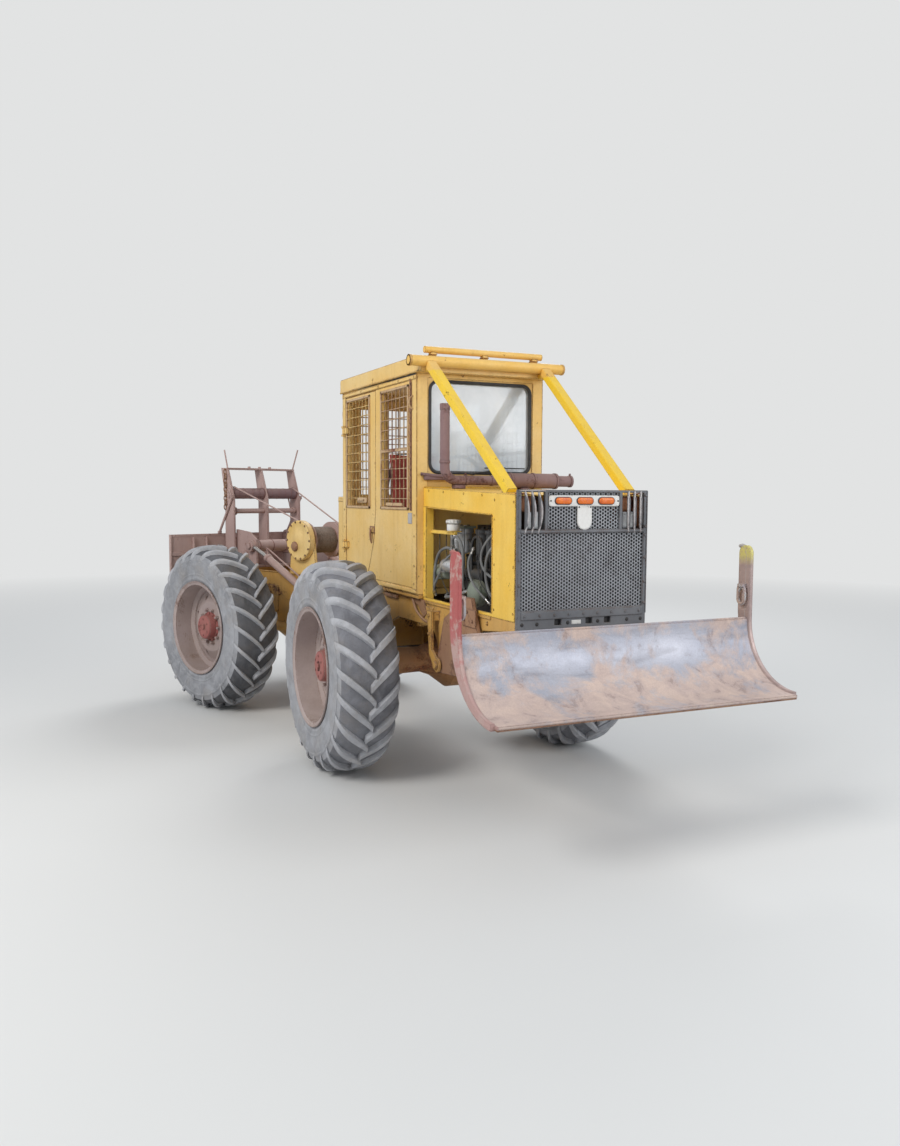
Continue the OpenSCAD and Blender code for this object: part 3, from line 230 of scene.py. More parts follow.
def metal(name, base, fade, rust, deep, chips, patches, streak, dust, mud, rough, metallic=0.0, below=None):
    """Painted or bare metal: faded colour, chips along the edges, rust patches and runs, dust on top, mud low down."""
    s = Mat(name)
    base, fade, rust, deep, dirt = (srgb(c) for c in (base, fade, rust, deep, "968470"))
    edge = s.edge(0.012)
    big = s.noise(1.7, 5, 0.6)
    mid = s.noise(9, 6, 0.62, 0.4)
    fine = s.noise(70, 5, 0.65)
    run = s.noise(6, 6, 0.6, 0.3, stretch=(3.2, 3.2, 0.35))
    col = s.mix(s.step(big, 0.38, 0.66), base, fade)
    if below:
        col = s.mix(s.step(s.xyz(s.co)[2], below[0], below[0] - 0.01), col, srgb(below[1]))
    col = s.mix(s.mul(s.step(run, 0.50, 0.75), streak), col, s.mix(0.6, rust, base))
    col = s.mix(s.step(fine, 0.3, 0.72, 0.0, 0.22), col, s.mix(0.55, deep, base))
    # Chips: bare along edges, spots elsewhere
    lift = s.mul(edge, 0.34 * chips)
    chip = s.step(s.add(s.add(s.mul(mid, 0.62), s.mul(fine, 0.38)), lift), 0.66 - 0.06 * chips, 0.69 - 0.05 * chips)
    # Broad rust patches
    patch = s.step(s.add(s.mul(s.noise(2.6, 8, 0.68, 0.6, shift=(3, 1, 7)), 0.8), s.mul(fine, 0.2)),
                   0.68 - 0.25 * patches, 0.74 - 0.22 * patches)
    worn = s.most(chip, s.mul(patch, min(1.0, patches * 2.2)))
    rusty = s.mix(s.step(s.noise(45, 6, 0.7), 0.38, 0.62), rust, deep)
    col = s.mix(worn, col, rusty)
    # Dust on upward faces, mud towards the ground
    level = s.xyz(s.co)[2]
    top = s.mul(s.step(s.upward(), 0.25, 0.95), s.step(s.noise(5, 6, 0.6), 0.25, 0.7, 0.25, 1.0))
    col = s.mix(s.mul(top, dust), col, dirt)
    low = s.mul(s.step(level, 1.35, 0.35), s.step(s.noise(4, 7, 0.65, shift=(5, 0, 0)), 0.36, 0.66))
    col = s.mix(s.mul(low, mud), col, s.mix(0.5, dirt, srgb("705e4e")))
    s.set("Base Color", col)
    rgh = s.add(s.step(mid, 0.3, 0.7, rough - 0.08, rough + 0.12), s.mul(s.most(worn, s.mul(top, dust)), 0.32),
                clamp=True)
    s.set("Roughness", rgh)
    if metallic:
        s.set("Metallic", metallic)
    h = s.add(s.mul(fine, 0.5), s.mul(worn, -0.8))
    h = s.add(h, s.mul(big, 1.2))
    s.set("Normal", s.bump(h, 0.35, 0.0025, s.soft))
    return s.m


def rubber(name, base, pale, brown):
    """Tyre rubber: dusty grey, paler on worn tops, dirt in the grooves and scuffs round the sidewall; the groove
    rubbers' darker base colour is painted shade.
    """
    s = Mat(name)
    base, pale, brown = srgb(base), srgb(pale), srgb(brown)
    edge = s.edge(0.010)
    mid = s.noise(11, 7, 0.65, 0.5)
    fine = s.noise(90, 5, 0.7)
    big = s.noise(2.2, 5, 0.6)
    col = s.mix(s.step(big, 0.35, 0.65), base, s.mix(0.4, pale, base))
    col = s.mix(s.step(mid, 0.42, 0.66, 0.0, 0.75), col, pale)
    col = s.mix(s.mul(edge, s.step(mid, 0.3, 0.6, 0.25, 0.9)), col, s.mix(0.35, pale, srgb("bcbab8")))
    col = s.mix(s.step(s.noise(4.5, 8, 0.7, shift=(9, 2, 4)), 0.5, 0.7, 0.0, 0.5), col, brown)
    col = s.mix(s.step(fine, 0.55, 0.75, 0.0, 0.3), col, srgb("343436"))
    s.set("Base Color", col)
    s.set("Roughness", s.step(mid, 0.3, 0.7, 0.72, 0.95))
    h = s.add(s.mul(fine, 0.5), mid)
    s.set("Normal", s.bump(h, 0.5, 0.004, s.soft))
    return s.m


def blade_steel():
    """Scoured steel: pale blue grey, tan mud dried in broad patches, more of it low down, rust along the bottom."""
    s = Mat("blade_steel")
    edge = s.edge(0.014)
    level = s.xyz(s.co)[2]
    across = s.xyz(s.co)[1]
    fine = s.noise(60, 6, 0.7)
    mid = s.noise(8, 7, 0.65, 0.6)
    drag = s.noise(7, 6, 0.62, 0.4, stretch=(1, 0.35, 1.6))
    col = s.mix(s.step(s.noise(1.6, 6, 0.6), 0.36, 0.66), srgb("9c9fac"), srgb("b6b8c2"))
    col = s.mix(s.step(drag, 0.5, 0.7, 0.0, 0.55), col, srgb("76747a"))
    # Dried mud: everywhere a little, most of it below and towards both ends
    low = s.step(level, 1.04, 0.86, 0.0, 0.17)
    high = s.step(level, 1.12, 1.18, 0.0, 0.07)
    ends = s.most(s.step(across, -0.15, -0.6, 0.0, 0.08), s.step(across, 0.7, 1.1, 0.0, 0.05))
    field = s.add(s.add(s.noise(3.2, 9, 0.72, 0.4, shift=(2, 6, 1)), s.most(low, high)), ends)
    tan = s.step(field, 0.53, 0.66, 0.0, 0.85)
    shade = s.mix(s.step(mid, 0.36, 0.62), srgb("dac2b2"), srgb("c4aea4"))
    col = s.mix(tan, col, shade)
    col = s.mix(s.step(s.add(mid, s.mul(fine, 0.4)), 0.78, 0.88, 0.0, 0.35), col, srgb("74645e"))
    col = s.mix(s.step(s.noise(130, 6, 0.75), 0.35, 0.68, 0.0, 0.45), col, srgb("d0c8c5"), "MULTIPLY")
    col = s.mix(s.mul(edge, s.step(fine, 0.35, 0.6, 0.3, 0.9)), col, srgb("846458"))
    col = s.mix(s.step(s.add(level, s.mul(mid, -0.10)), 0.53, 0.46, 0.0, 0.85), col,
                s.mix(s.step(fine, 0.4, 0.6), srgb("8a6654"), srgb("685048")))
    # End plates with their horns: the right one red primer, the left one bare with a yellow tip
    red = s.mix(s.step(s.add(s.mul(mid, 0.7), s.mul(fine, 0.3)), 0.50, 0.56), srgb("b05c5a"), srgb("ba968e"))
    red = s.mix(s.step(level, 1.25, 0.95, 0.0, 0.8), red, srgb("b69e98"))
    col = s.mix(s.step(across, -0.624, -0.628), col, red)
    bare = s.mix(s.step(mid, 0.4, 0.6), srgb("bca6a0"), srgb("a6928e"))
    bare = s.mix(s.mul(s.step(level, 1.50, 1.56), s.step(fine, 0.3, 0.5)), bare, srgb("cec478"))
    col = s.mix(s.step(across, 1.198, 1.202), col, bare)
    s.set("Base Color", col)
    s.set("Roughness", s.add(s.step(mid, 0.3, 0.7, 0.34, 0.5), s.mul(tan, 0.34), clamp=True))
    s.set("Metallic", 0.2)
    h = s.add(s.mul(fine, 0.5), s.add(mid, s.mul(tan, 0.7)))
    s.set("Normal", s.bump(h, 0.45, 0.003, s.soft))
    return s.m


# Own name, colour, faded colour, rust and deep rust, then the shares of chips, rust patches, runs, dust and mud,
# the roughness, and for a few the metallic share and a second colour below a height
METALS = {
    "cab": ("cab_yellow", "e8be6a", "f0d08e", "844c2e", "482c20", 0.7, 0.22, 0.35, 0.35, 0.35, 0.5),
    "bright": ("bright_yellow", "f0be3e", "f6d068", "804828", "482c20", 0.6, 0.14, 0.25, 0.3, 0.4, 0.5),
    "bars": ("roof_tube_yellow", "eebc58", "f4cc7a", "804828", "482c20", 0.65, 0.16, 0.25, 0.3, 0.4, 0.5,
             0.0, (2.7, "f6ce2c")),
    "frame": ("chassis_yellow", "cc9a4a", "d6ac64", "744228", "482c20", 0.85, 0.5, 0.5, 0.5, 0.75, 0.5),
    "axle": ("axle_rust", "ba8048", "a07454", "965432", "5c3e30", 0.8, 0.6, 0.5, 0.5, 0.5, 0.6),
    "guard": ("guard_grey", "5c5e62", "7a7c80", "765c50", "423a36", 0.5, 0.2, 0.2, 0.3, 0.4, 0.55),
    "screen": ("screen_grey", "929498", "aaacb0", "78706c", "565454", 0.4, 0.25, 0.3, 0.2, 0.4, 0.5),
    "engine": ("engine_dark", "343638", "4a4a4a", "5c4638", "282220", 0.5, 0.3, 0.2, 0.45, 0.4, 0.45),
    "horn": ("horn_red", "a8605c", "ba847c", "864a3e", "603c36", 0.8, 0.6, 0.4, 0.2, 0.4, 0.5),
    "arm": ("arm_brown", "967058", "aa8260", "764c3a", "543a30", 0.8, 0.6, 0.5, 0.3, 0.4, 0.5),
    "pink": ("rust_pink", "ae928c", "c2a8a0", "9e786e", "7e605a", 0.8, 0.5, 0.4, 0.3, 0.3, 0.62),
    "wheel": ("wheel_rust", "a49491", "b8a8a3", "8c7066", "745e56", 0.7, 0.5, 0.2, 0.25, 0.35, 0.62),
    "hub": ("hub_red", "9c5452", "a86862", "78463c", "563832", 0.7, 0.4, 0.2, 0.2, 0.4, 0.6),
    "exhaust": ("exhaust_rust", "7a6062", "907472", "68423a", "4a3434", 0.7, 0.6, 0.3, 0.3, 0.4, 0.7),
    "meshwire": ("mesh_rust", "c8a87e", "d2b892", "8c5842", "70483c", 0.7, 0.6, 0.4, 0.2, 0.4, 0.6),
    "darkred": ("dark_red", "865854", "986c66", "623c34", "462e2c", 0.6, 0.4, 0.3, 0.3, 0.4, 0.5),
    "chrome": ("rod_chrome", "b0b0b0", "c4c2be", "744228", "482c20", 0.3, 0.15, 0.1, 0.3, 0.4, 0.2, 0.9),
    "black": ("dash_black", "242426", "343436", "3c3632", "1e1c1c", 0.3, 0.1, 0.1, 0.35, 0.4, 0.55),
    "silver": ("filter_silver", "b2b4b8", "c4c6c8", "82705c", "5c544e", 0.3, 0.12, 0.3, 0.3, 0.4, 0.32, 0.5),
    "white": ("lamp_white", "e0ded8", "eae8e4", "968068", "6e5c50", 0.35, 0.08, 0.35, 0.2, 0.4, 0.4),
    "grey": ("grey_green", "788276", "8e9486", "604e3e", "3e3832", 0.4, 0.2, 0.2, 0.3, 0.4, 0.5),
    "rustorange": ("rust_orange", "c4805c", "ce9670", "965434", "5c3a2c", 0.8, 0.6, 0.5, 0.2, 0.4, 0.6),
    "pale": ("pale_steel", "b0acac", "c4c0be", "8c6a5c", "64544e", 0.5, 0.3, 0.3, 0.2, 0.4, 0.5),
    "rope": ("wire_rope", "78685e", "96887c", "6e4e3e", "46362e", 0.5, 0.5, 0.2, 0.4, 0.4, 0.55),
}
# Own name, colour, pale colour of worn tops, brown of the dirt
RUBBERS = {
    "tyre": ("tyre_grey", "7e7f83", "acadb2", "9c948c"),
    # The groove rubbers are darker copies of the tyre's: painted shade between the lugs, with real dirt in the brown
    "groove": ("tyre_groove_painted_shade", "444549", "707176", "70675e"),
    "groove_worn": ("tyre_worn_groove_painted_shade", "626369", "8e8f95", "867d74"),
    "lug": ("tyre_lug", "929397", "c0c1c6", "aaa29a"),
    "hose": ("hose_grey", "545658", "8e8e8c", "686058"),
    "seal": ("seal_black", "222224", "3a3a3c", "3c3632"),
}
M = {key: metal(*row) for key, row in METALS.items()}
M.update({key: rubber(*row) for key, row in RUBBERS.items()})
M["blade"] = blade_steel()


def amber():
    s = Mat("lamp_amber")
    s.set("Base Color", s.mix(s.step(s.noise(30, 4), 0.35, 0.7), srgb("e87828"), srgb("ce5c1e")))
    s.set("Roughness", s.step(s.noise(60, 4), 0.3, 0.7, 0.16, 0.34))
    s.set("Normal", s.bump(s.voronoi(160), 0.35, 0.0015))
    return s.m


def lamp_glass():
    s = Mat("lamp_clear")
    ribs = s.math("SINE", s.mul(s.xyz(s.co)[1], 900))
    # The pale blue-white colour of the clear lens is painted reflection
    s.set("Base Color", s.mix(s.step(s.noise(14, 5), 0.35, 0.7), srgb("eaecee"), srgb("d0cec8")))
    s.set("Roughness", s.step(s.noise(40, 4), 0.3, 0.7, 0.12, 0.28))
    s.set("Metallic", 0.1)
    s.set("Normal", s.bump(ribs, 0.5, 0.002))
    return s.m


def glass():
    s = Mat("glass")
    s.set("Base Color", s.mix(s.step(s.noise(3, 6, 0.6, 0.4), 0.35, 0.7), srgb("dee6ec"), srgb("c6d1da")))
    s.set("Roughness", s.step(s.noise(8, 6, 0.6), 0.35, 0.7, 0.04, 0.16))
    s.set("IOR", 1.5)
    s.set("Alpha", 0.62)
    s.set("Specular IOR Level", 0.8)
    s.set("Normal", s.bump(s.noise(5, 3), 0.05, 0.003))
    return s.m


def vinyl():
    s = Mat("seat_red")
    worn = s.noise(6, 6, 0.6, 0.4)
    col = s.mix(s.step(worn, 0.36, 0.66), srgb("942c28"), srgb("b04a40"))
    col = s.mix(s.mul(s.step(s.upward(), 0.3, 0.9), s.step(worn, 0.3, 0.7, 0.1, 0.5)), col, srgb("a8806c"))
    s.set("Base Color", col)
    s.set("Roughness", s.step(worn, 0.3, 0.7, 0.42, 0.62))
    leather = s.add(s.voronoi(260), s.mul(s.noise(20, 4), 0.6))
    s.set("Normal", s.bump(leather, 0.35, 0.0016))
    return s.m


M["amber"], M["lampglass"], M["glass"], M["seat"] = amber(), lamp_glass(), glass(), vinyl()


# Material slots of the pieces, by the keys of their materials
SLOTS = {
    "cab_yellow": "cab frame", "bright_yellow": "bright bars", "guard_grey": "guard screen pale",
    "engine_dark": "engine silver grey", "blade_steel": "blade horn", "arm_brown": "arm",
    "rust_pink": "pink darkred rustorange rope", "wheel_rust": "wheel hub", "exhaust_rust": "exhaust",
    "mesh_rust": "meshwire", "rod_chrome": "chrome", "dash_black": "black hose seal", "lamp_white": "white amber",
    "lamp_clear": "lampglass", "seat_red": "seat", "glass": "glass",
}
SLOT = {key: slot for slot, keys in SLOTS.items() for key in keys.split()}


# Mesh writer: everything added to one Piece becomes one object on one body, sizes in mm at its place
class Piece:
    def __init__(self, name, key, body="front_body", place=F):
        self.name, self.mat, self.slot, self.body, self.place = name, M[key], SLOT.get(key), body, place
        self.bm = bmesh.new()

    def vert(self, p):
        return self.bm.verts.new(self.place(*p))

    def verts(self, pts):
        return [self.vert(p) for p in pts]

    def face(self, vs):
        try:
            self.bm.faces.new(vs)
        except ValueError:
            pass

    def box(self, x, y, z, c=0.0):
        """Block between the ranges x, y and z, with its edges cut back by c."""
        c = min(c, 0.45 * abs(x[1] - x[0]), 0.45 * abs(y[1] - y[0]), 0.45 * abs(z[1] - z[0]))
        if c <= 0:
            v = self.verts([(a, b, d) for a in x for b in y for d in z])
            for q in ((0, 1, 3, 2), (4, 6, 7, 5), (0, 4, 5, 1), (2, 3, 7, 6), (0, 2, 6, 4), (1, 5, 7, 3)):
                self.face([v[i] for i in q])
            return
        lim = (x, y, z)
        v = {}
        for idx in product((0, 1), repeat=3):
            for ax in range(3):
                v[idx, ax] = self.vert([lim[a][idx[a]] + (0 if a == ax else -c if idx[a] else c) for a in range(3)])

        def corner(ax, *along):
            idx = [0, 0, 0]
            for i, k in enumerate(along):
                idx[(ax + i) % 3] = k
            return tuple(idx)
        for ax in range(3):
            for s in (0, 1):
                self.face([v[corner(ax, s, p, q), ax] for p, q in ((0, 0), (1, 0), (1, 1), (0, 1))])
        for ax in range(3):
            a1, a2 = (ax + 1) % 3, (ax + 2) % 3
            for p, q in product((0, 1), repeat=2):
                e0, e1 = corner(ax, 0, p, q), corner(ax, 1, p, q)
                self.face([v[e0, a1], v[e1, a1], v[e1, a2], v[e0, a2]])
        for idx in product((0, 1), repeat=3):
            self.face([v[idx, ax] for ax in range(3)])

    def lathe(self, a, b, profile, seg=32):
        """Surface round the line from a towards b; profile is a list of (distance along in mm, radius)."""
        a, b = Vector(a), Vector(b)
        d = (b - a).normalized()
        u = d.orthogonal().normalized()
        w = d.cross(u)
        rings = []
        for h, r in profile:
            if r <= 1e-6:
                rings.append([self.vert(a + d * h)])
            else:
                rings.append(self.verts(a + d * h + (u * cos(t) + w * sin(t)) * r for t in turn(seg)))
        for p, q in zip(rings, rings[1:]):
            for i in range(seg):
                j = (i + 1) % seg
                if len(p) == 1 and len(q) > 1:
                    self.face([p[0], q[i], q[j]])
                elif len(q) == 1 and len(p) > 1:
                    self.face([p[i], q[0], p[j]])
                elif len(p) > 1:
                    self.face([p[i], q[i], q[j], p[j]])

    def lathe_y(self, x, z, y0, y1, profile, seg):
        """The same round a line along y, from y0 towards y1."""
        self.lathe((x, y0, z), (x, y1, z), profile, seg)

    def rod(self, a, b, r, seg=20):
        h = (Vector(b) - Vector(a)).length
        c = min(0.25 * r, 3, 0.3 * h)
        self.lathe(a, b, [(0, 0), (0, r - c), (c, r), (h - c, r), (h, r - c), (h, 0)], seg)

    def nut(self, p, d, r, h, seg=6):
        """Hexagon head or nut at p, standing along d."""
        p, d = Vector(p), Vector(d).normalized()
        self.lathe(p, p + d, [(0, 0), (0, r), (h - 1.5, r), (h, r * 0.86), (h, 0)], seg)
        self.lathe(p, p + d, [(0, r * 1.25), (1.2, r * 1.25), (1.2, r * 0.5)], 16)

    def tube(self, pts, r, seg=12, n=8, close=False, caps=True):
        """Round tube through the points, smoothed."""
        pts = [Vector(p) for p in pts]
        path = curve(pts, n, close) if n > 1 else pts
        rings = []
        u = None
        m = len(path)
        for i, p in enumerate(path):
            if close:
                d = (path[(i + 1) % m] - path[i - 1]).normalized()
            else:
                d = (path[min(i + 1, m - 1)] - path[max(i - 1, 0)]).normalized()
            u = d.orthogonal().normalized() if u is None else (u - d * u.dot(d)).normalized()
            w = d.cross(u)
            rings.append(self.verts(p + (u * cos(t) + w * sin(t)) * r for t in turn(seg)))
        pairs = list(zip(rings, rings[1:])) + ([(rings[-1], rings[0])] if close else [])
        for a, b in pairs:
            if close and a is rings[-1]:
                off = min(range(seg), key=lambda k: (a[0].co - b[k].co).length)
                b = b[off:] + b[:off]
            for i in range(seg):
                j = (i + 1) % seg
                self.face([a[i], b[i], b[j], a[j]])
        if not close and caps:
            self.face(list(reversed(rings[0])))
            self.face(rings[-1])

    def plate(self, outline, y):
        """Outline of (x, z) points, reaching from y[0] to y[1]."""
        n = len(outline)
        a = self.verts([(p[0], y[0], p[1]) for p in outline])
        b = self.verts([(p[0], y[1], p[1]) for p in outline])
        self.face(a)
        self.face(list(reversed(b)))
        for i in range(n):
            j = (i + 1) % n
            self.face([a[j], a[i], b[i], b[j]])

    def strip(self, rows):
        """Grid of points, rows of equal length."""
        v = [self.verts(r) for r in rows]
        for p, q in zip(v, v[1:]):
            for i in range(len(p) - 1):
                self.face([p[i], p[i + 1], q[i + 1], q[i]])

    def done(self, angle=35, solid=0.0, fix=True):
        """The finished object: edges sharper than angle stay sharp, solid is a sheet's thickness in mm."""
        if fix:
            bmesh.ops.recalc_face_normals(self.bm, faces=self.bm.faces)
        me = bpy.data.meshes.new(self.name)
        self.bm.to_mesh(me)
        self.bm.free()
        me.materials.append(self.mat)
        me.shade_smooth()
        me.set_sharp_from_angle(angle=radians(angle))
        ob = new_object(self.name, me)
        if solid:
            mod = ob.modifiers.new("solid", "SOLIDIFY")
            mod.thickness = solid / 1000
            mod.offset = 0
        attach(ob, self.body)
        return ob


def curve(pts, n, close=False):
    """Catmull-Rom points through pts, n for each span."""
    out = []
    m = len(pts)
    for i in range(m if close else m - 1):
        p0 = pts[(i - 1) % m] if close or i else pts[0] * 2 - pts[1]
        p1, p2 = pts[i], pts[(i + 1) % m]
        p3 = pts[(i + 2) % m] if close or i + 2 < m else pts[-1] * 2 - pts[-2]
        for k in range(n):
            t = k / n
            out.append(0.5 * ((2 * p1) + (p2 - p0) * t + (2 * p0 - 5 * p1 + 4 * p2 - p3) * t * t
                              + (3 * p1 - p0 - 3 * p2 + p3) * t ** 3))
    if not close:
        out.append(pts[-1])
    return out


def turn(n):
    """Angles of n even steps round a circle."""
    return [2 * math.pi * i / n for i in range(n)]


def paint(node, key):
    slots = NODES[node].data.materials
    slots.clear()
    slots.append(M[key])


# The CAD nodes by material
FINISH = {
    "frame": "front_frame lift_barrels rear_frame rear_axle steer_barrel_right steer_barrel_left",
    # The radiator in dash black: painted shade behind the screen
    "axle": "front_axle", "engine": "gearbox engine", "black": "radiator controls", "bright": "hood",
    "guard": "grille_guard", "screen": "grille_screen", "lampglass": "headlamps", "white": "marker_panel",
    "exhaust": "exhaust arch_rollers", "cab": "cab_frame cab_walls cab_roof rear_box door_right door_left winch",
    "glass": "windscreen", "meshwire": "cab_mesh", "bars": "roof_bars", "seat": "seat", "blade": "blade",
    "arm": "blade_arms", "chrome": "lift_rods steer_rod_right steer_rod_left",
    "pink": "winch_drums rope_arch rear_shield",
}
for key, names in FINISH.items():
    for n in names.split():
        paint(n, key)
for _, _, tag in WHEELS:
    paint("tyre_" + tag, "tyre")
    paint("wheel_" + tag, "wheel")


# Tyres: round body, long curved lugs that meet low in front, worn unevenly
def profile_at(table, t):
    """Point at parameter t, 0 to 1, along a list of (radius, distance from the centre plane)."""
    seg = []
    total = 0
    for a, b in zip(table, table[1:]):
        d = math.dist(a, b)
        seg.append((total, d, a, b))
        total += d
    want = t * total
    for s0, d, a, b in seg:
        if want <= s0 + d + 1e-9:
            k = (want - s0) / d
            return (a[0] + (b[0] - a[0]) * k, a[1] + (b[1] - a[1]) * k)
    return table[-1]


CARCASS = [(690, 0), (689, 60), (683, 115), (668, 160), (640, 192), (600, 207), (560, 212), (520, 210), (480, 205),
           (446, 201), (436, 205), (426, 202), (414, 196), (404, 192), (388, 186)]
CROWN = [(725, 0), (724, 60), (720, 108), (708, 150), (680, 186), (640, 206), (600, 213)]
BASE = [(688, 0), (687, 60), (681, 115), (666, 160), (638, 192), (598, 207), (570, 210)]
BEAD = (386.4, 160)
LUGS = 24
# Radii at which the sweep of a lug and its width are laid off
LEAD_R, WIDTH_R = 705, 700


def build_tyre(tag, rear, side, seed):
    rnd = random.Random(seed)
    place = wheel_place(rear, side)
    body = tag + "_wheel"
    p = Piece("rubber_" + tag, "tyre", body, place)
    seg = 132
    outline = [(r, z) for r, z in reversed(CARCASS)][:-1] + [(r, -z) for r, z in CARCASS]
    outline = [BEAD] + outline + [(BEAD[0], -BEAD[1])]
    rings = []
    for r, z in outline:
        ring = []
        for a in turn(seg):
            w = 1.6 * noise.noise(Vector((cos(a) * 2, sin(a) * 2, z / 80 + seed)))
            ring.append(p.vert(((r + w) * cos(a), (r + w) * sin(a), z)))
        rings.append(ring)
    # Tread band between the lugs, in the darker groove rubber: painted shade
    g = Piece("groove_" + tag, "groove" if rear else "groove_worn", body, place)
    for a, b, oa, ob in zip(rings, rings[1:], outline, outline[1:]):
        tread = min(oa[0], ob[0]) > 630
        if tread:
            a, b = [[g.bm.verts.new(v.co) for v in row] for row in (a, b)]
        for i in range(seg):
            j = (i + 1) % seg
            (g if tread else p).face([a[i], a[j], b[j], b[i]])
    bmesh.ops.remove_doubles(g.bm, verts=g.bm.verts, dist=1e-6)
    bmesh.ops.delete(p.bm, geom=[v for v in p.bm.verts if not v.link_faces], context="VERTS")
    lug = Piece("lugs_" + tag, "lug", body, place)
    for half in (-1, 1):
        for k in range(LUGS):
            a0 = 2 * math.pi * (k + (0.25 if half > 0 else -0.25)) / LUGS + rnd.uniform(-0.006, 0.006)
            wear = rnd.uniform(0.0, 3.5)
            chunk = rnd.random() < 0.3
            rows = []
            N = 12
            for i in range(N + 1):
                t = i / N
                rt, zt = profile_at(CROWN, t)
                rb, zb = profile_at(BASE, t)
                # The inner end reaches just over the middle
                shift = -16 * (1 - t) ** 4
                lead = 250 * (t ** 0.82) if t < 0.75 else 250 * (0.75 ** 0.82) + 210 * (t - 0.75)
                psi0 = a0 + lead / LEAD_R
                wide = (25 if rear else 42) + 9 * sin(math.pi * min(1, t * 1.1)) + rnd.uniform(-1.0, 1.0)
                base_w = wide + 12
                drop = wear + (2.5 if chunk and 0.25 < t < 0.5 else 0)
                fadeout = max(0.0, (t - 0.8) / 0.2)
                rt2 = rt - drop - fadeout * 10
                zt2 = zt - fadeout * 4
                row = []
                for w, q in ((-base_w, 0), (-wide - 2, 0.82), (-wide + 4, 1), (wide - 4, 1), (wide + 2, 0.82),
                             (base_w, 0)):
                    r = rb - 4 + (rt2 - rb + 4) * q
                    z = zb + (zt2 - zb) * q + shift
                    phi = -side * (psi0 + w / 2 / WIDTH_R)
                    row.append((r * cos(phi), r * sin(phi), half * z))
                rows.append(row)
            v = [lug.verts(r) for r in rows]
            for a, b in zip(v, v[1:]):
                for i in range(5):
                    lug.face([a[i], a[i + 1], b[i + 1], b[i]])
            lug.face(v[0])
            lug.face(list(reversed(v[-1])))
    # Rib and scuff bands on the sidewalls
    for half in (-1, 1):
        for r0, z0, wdt, hgt in ((596, 207.5, 10, 3.0), (470, 204, 8, 3.0)):
            rr = []
            for dr, dz in ((-wdt, -1), (-wdt * 0.5, hgt), (wdt * 0.5, hgt), (wdt, -1)):
                rr.append(p.verts(((r0 + dr) * cos(a), (r0 + dr) * sin(a), half * (z0 + dz)) for a in turn(seg)))
            for a, b in zip(rr, rr[1:]):
                for i in range(seg):
                    j = (i + 1) % seg
                    p.face([a[i], a[j], b[j], b[i]])
    for piece in (p, g, lug):
        ob = piece.done(angle=38)
        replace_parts(ob, "tyre_" + tag)


for i, (rear, side, tag) in enumerate(WHEELS):
    build_tyre(tag, rear, side, 11 + i)


# Small parts
def yy(s, a, b):
    """Range in y from a to b on side s."""
    return sorted((s * a, s * b))


def bolts(p, pts, d, r=9, h=7):
    for q in pts:
        p.nut(q, d, r, h)


def circle_y(x, y, z, r, angles):
    """Points round a line along y."""
    return [(x + r * cos(a), y, z + r * sin(a)) for a in angles]


def rounded(y, z, r, n=6):
    """Points of a rectangle in YZ with round corners."""
    out = []
    for cy, cz, a0 in ((y[1] - r, z[1] - r, 0), (y[0] + r, z[1] - r, 90), (y[0] + r, z[0] + r, 180),
                       (y[1] - r, z[0] + r, 270)):
        for i in range(n + 1):
            a = radians(a0 + 90 * i / n)
            out.append((cy + r * cos(a), cz + r * sin(a)))
    return out


def slab_x(p, outline, x, c=0.0):
    """Plate across X from an outline in YZ, with its front edge cut back by c."""
    my = sum(q[0] for q in outline) / len(outline)
    mz = sum(q[1] for q in outline) / len(outline)
    rows = [[(x[0], y, z) for y, z in outline], [(x[1] - c, y, z) for y, z in outline]]
    if c:
        rows.append([(x[1], y - c * (1 if y > my else -1), z - c * (1 if z > mz else -1)) for y, z in outline])
    v = [p.verts(r) for r in rows]
    n = len(outline)
    for a, b in zip(v, v[1:]):
        for i in range(n):
            p.face([a[i], a[(i + 1) % n], b[(i + 1) % n], b[i]])
    p.face(list(reversed(v[0])))
    p.face(v[-1])


def dome_x(p, outline, x, rise, steps=4):
    """Lens on a YZ outline, crowned towards +X."""
    n = len(outline)
    my = sum(q[0] for q in outline) / n
    mz = sum(q[1] for q in outline) / n
    last = p.verts([(x, y, z) for y, z in outline])
    for k in range(1, steps + 1):
        t = k / steps * 0.5 * math.pi
        f = 1 - 0.42 * (1 - cos(t)) if k < steps else 0.5
        row = p.verts([(x + rise * sin(t), my + (y - my) * f, mz + (z - mz) * f) for y, z in outline])
        for i in range(n):
            p.face([last[i], last[(i + 1) % n], row[(i + 1) % n], row[i]])
        last = row
    p.face(last)


